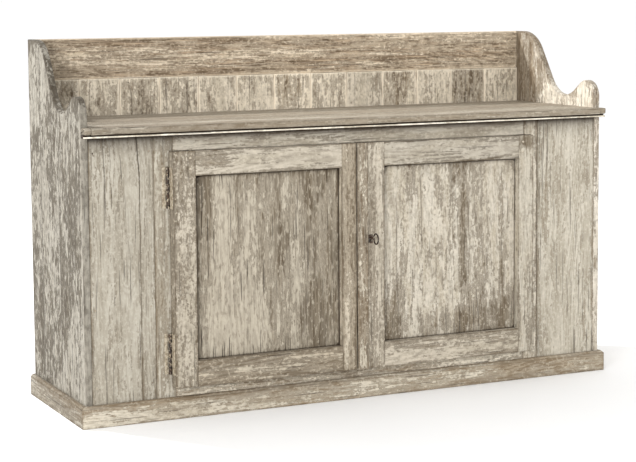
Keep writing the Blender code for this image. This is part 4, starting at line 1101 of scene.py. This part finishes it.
chisel(lock_stile, Vector((key_place.x - KEYHOLE.x, stile_low.y - 0.01, key_place.z - KEYHOLE.z)),
    Vector((key_place.x + KEYHOLE.x, case_low.y + 0.002, key_place.z + 0.0036)))
chisel(keeper_stile, Vector((bolt_low.x - BOLT_THROW, bolt_low.y, bolt_low.z)) - MORTISE_ROOM,
    Vector((keeper_high.x + 0.01, bolt_high.y, bolt_high.z)) + MORTISE_ROOM)

BOW_REACH, BOW_RISE, BOW_WIRE, SHANK = 0.0155, 0.0165, 0.0025, 0.0030
low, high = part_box("key")
axis_x, axis_z = (low.x + high.x) / 2, high.z - BOW_RISE - BOW_WIRE
around, tube = np.meshgrid(np.linspace(0, 2 * math.pi, 56, endpoint=False), np.linspace(0, 2 * math.pi,
        12, endpoint=False), indexing="ij")
centre_y = low.y + BOW_WIRE + BOW_REACH
bow_points = np.stack([axis_x + BOW_WIRE * np.sin(tube), centre_y + (BOW_REACH + BOW_WIRE * np.cos(tube))
        * np.cos(around), axis_z + (BOW_RISE + BOW_WIRE * np.cos(tube)) * np.sin(around)],
    axis=-1).reshape(-1, 3)
index = np.arange(around.size).reshape(around.shape)
bow_quads = np.stack([index, np.roll(index, -1, 0), np.roll(np.roll(index, -1, 0), -1, 1),
        np.roll(index, -1, 1)], axis=-1).reshape(-1, 4)
bow = skin(bow_points, bow_quads, [], bow_points, np.full(len(bow_points), 0.01))
shank_start = centre_y + BOW_REACH - 0.001
shank_length = high.y - shank_start
shank = turned((axis_x, shank_start, axis_z), Y, [(0.0014, 0.0), (0.0036, 0.0012), (0.0044, 0.0030),
        (0.0036, 0.0046), (SHANK, 0.0058), (SHANK, 0.0090), (0.0040, 0.0102), (0.0040, 0.0116),
        (SHANK, 0.0128), (SHANK, shank_length - 0.0010), (0.0020, shank_length)])
bit = stick(Vector((axis_x - 0.0014, high.y - 0.0050, low.z)),
    Vector((axis_x + 0.0014, high.y - 0.0005, axis_z)), Z, 201)
assemble("ring_key", [bow, shank, bit], key_iron, "key", "dark_iron", "key")


# ==== Pegs and nails =============================================================================
# Oak pegs pin every tenon of the doors, and round iron nails hold the boards. Each is turned, with
# a low domed head that stands a hair above the wood.
def scattered(name, places, axis, profile, finish, body, slot):
    """The same small turned head at each place."""
    assemble(name, [turned(place, axis, profile, 12) for place in places], finish, body, slot)


PEG_INSET, PEG_DROPS, PEG_RISES = 0.017, (0.022, 0.056), (0.022, 0.060)
PEG = [(0.0038, 0.004), (0.0038, -0.0001), (0.0034, -0.0005), (0.0012, -0.0007)]
NAIL = [(0.0026, 0.003), (0.0026, 0.0), (0.0020, -0.0005), (0.0008, -0.0008)]
BACK_NAIL = [(0.0026, -0.003), (0.0026, 0.0), (0.0018, 0.0005), (0.0008, 0.0006)]
TACK = [(0.0030, -0.002), (0.0030, 0.0), (0.0022, 0.0008), (0.0008, 0.0012)]
peg_wood = painted_pine("peg_wood", 211, bare=0.10, light=(150, 128, 98), dark=(96, 76, 52))
nail_iron = old_iron("nail_iron", 0.45)
for side in ("left", "right"):
    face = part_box(f"{side}_door_panel")
    pegs = []
    for stile in ("outer", "inner"):
        low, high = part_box(f"{side}_door_{stile}_stile")
        opening = (face[0].x + face[1].x) / 2
        x = low.x + PEG_INSET if low.x > opening else high.x - PEG_INSET
        heights = [high.z - drop for drop in PEG_DROPS] + [low.z + rise for rise in PEG_RISES]
        pegs += [(x, low.y, z) for z in heights]
    scattered(f"{side}_door_pegs", pegs, Y, PEG, peg_wood, f"{side}_door", "painted_pine")

low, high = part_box("gallery_slats")
slat_nails = [(x + off, low.y + 0.0012, high.z - 0.014) for x in (edges[:-1] + edges[1:]) / 2
    for off in (-0.04, 0.04) if low.x < x + off < high.x]
scattered("gallery_nails", slat_nails, Y, NAIL, nail_iron, "cabinet", "dark_iron")
low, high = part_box("gallery_board")
board_nails = [(x, low.y + 0.0002, z) for x in (low.x + 0.02, -0.3, 0.31, high.x - 0.02)
    for z in (low.z + 0.03, high.z - 0.03)]
scattered("gallery_board_nails", board_nails, Y, NAIL, nail_iron, "cabinet", "dark_iron")
NAIL_PROUD = 0.0002
BOARD_NAIL_HEIGHTS = (0.12, 0.36, 0.62, 0.84)
PLINTH_NAIL_HEIGHT = 0.034
PLINTH_NAIL_PLACES = (-0.85, -0.42, 0.02, 0.45, 0.86)
front_nails = []
for node in ("left_front_board", "right_front_board"):
    low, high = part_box(node)
    front_nails += [(x, low.y + NAIL_PROUD, z) for x in (low.x + 0.014, high.x - 0.014)
        for z in BOARD_NAIL_HEIGHTS]
front_nails += [(x, plinth_low.y + NAIL_PROUD, PLINTH_NAIL_HEIGHT) for x in PLINTH_NAIL_PLACES]
scattered("front_nails", front_nails, Y, NAIL, nail_iron, "cabinet", "dark_iron")
back_low, back_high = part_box("back_panel")
back_nails = [(x, back_high.y - 0.0006, z) for x in (back_edges[:-1] + back_edges[1:]) / 2
    for z in (back_low.z + 0.02, 0.45, back_high.z - 0.02)]
scattered("back_nails", back_nails, Y, BACK_NAIL, nail_iron, "cabinet", "dark_iron")
for side in ("left", "right"):
    low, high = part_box(f"{side}_door_plug")
    tacks = [(x, high.y - 0.0001, z) for x in np.linspace(low.x + 0.016, high.x - 0.016, 12)
        for z in (low.z + 0.014, high.z - 0.014)]
    tacks += [(x, high.y - 0.0001, z) for x in (low.x + 0.016, high.x - 0.016)
        for z in np.linspace(low.z + 0.070, high.z - 0.070, 10)]
    scattered(f"{side}_plug_tacks", tacks, Y, TACK, lining_zinc, f"{side}_door", "zinc_faced_block")


# ==== Room: floor, light and camera ==============================================================
# A pale floor that runs back out of sight, a soft overcast sky all round, a wide lamp above and
# behind the left end, and a low one like a window before it that draws the shadow of each edge.
FLOOR_REACH = 400.0
SKY_STRENGTH = 1.05
floor_mesh = bpy.data.meshes.new("floor")
floor_mesh.from_pydata([(-FLOOR_REACH, -FLOOR_REACH, 0), (FLOOR_REACH, -FLOOR_REACH, 0),
        (FLOOR_REACH, FLOOR_REACH, 0), (-FLOOR_REACH, FLOOR_REACH, 0)], [], [(0, 1, 2, 3)])
floor = bpy.data.objects.new("floor", floor_mesh)
bpy.context.scene.collection.objects.link(floor)
plaster = Recipe("pale_floor")
where = plaster.add("ShaderNodeTexCoord", {}, output=3)
mottle = plaster.noise(plaster.scaled(where, (1.5, 1.5, 1.5)), detail=3.0)
floor_mesh.materials.append(plaster.finish(plaster.mix(plaster.step(mottle, 0.3, 0.7),
            (0.955, 0.955, 0.955, 1), (0.975, 0.975, 0.975, 1)), 0.9))

sky = bpy.data.worlds.new("studio")
sky.use_nodes = True
sky.node_tree.nodes["Background"].inputs["Color"].default_value = (1.0, 1.0, 1.0, 1.0)
sky.node_tree.nodes["Background"].inputs["Strength"].default_value = SKY_STRENGTH
bpy.context.scene.world = sky


def lamp(name, place, target, size, power):
    """Square soft lamp that faces a target."""
    light = bpy.data.lights.new(name, "AREA")
    light.shape = "SQUARE"
    light.size = size
    light.energy = power
    holder = bpy.data.objects.new(name, light)
    holder.location = place
    holder.rotation_euler = (Vector(target) - Vector(place)).to_track_quat("-Z", "Y").to_euler()
    bpy.context.scene.collection.objects.link(holder)


lamp("high_lamp", (-2.8, 2.9, 5.1), (0.5, 0.1, 1.0), 0.5, 320.0)
lamp("window_lamp", (-5.2, -5.6, 2.2), (0.0, 0.0, 0.55), 1.8, 260.0)

CAMERA_PLACE = (-2.5774, -5.3116, 1.3091)
CAMERA_YAW = math.radians(25.529)
CAMERA_PITCH = math.radians(5.521)
CAMERA_ROLL = math.radians(-0.406)
FOCAL_LENGTH, SHIFT_UP = 100.33, -0.1006
camera_data = bpy.data.cameras.new("camera")
camera_data.sensor_width = 36.0
camera_data.lens = FOCAL_LENGTH
camera_data.shift_y = SHIFT_UP
camera = bpy.data.objects.new("camera", camera_data)
ahead = Vector((math.sin(CAMERA_YAW), math.cos(CAMERA_YAW), 0.0))
right = Vector((math.cos(CAMERA_YAW), -math.sin(CAMERA_YAW), 0.0))
up = Vector((0.0, 0.0, 1.0))
looking = ahead * math.cos(CAMERA_PITCH) - up * math.sin(CAMERA_PITCH)
upright = ahead * math.sin(CAMERA_PITCH) + up * math.cos(CAMERA_PITCH)
level_right = right * math.cos(CAMERA_ROLL) + upright * math.sin(CAMERA_ROLL)
level_up = upright * math.cos(CAMERA_ROLL) - right * math.sin(CAMERA_ROLL)
camera.matrix_world = (Matrix.Translation(CAMERA_PLACE) @ Matrix((level_right, level_up,
            -looking)).transposed().to_4x4())
bpy.context.scene.collection.objects.link(camera)
bpy.context.scene.camera = camera
bpy.context.scene.view_settings.view_transform = "Standard"
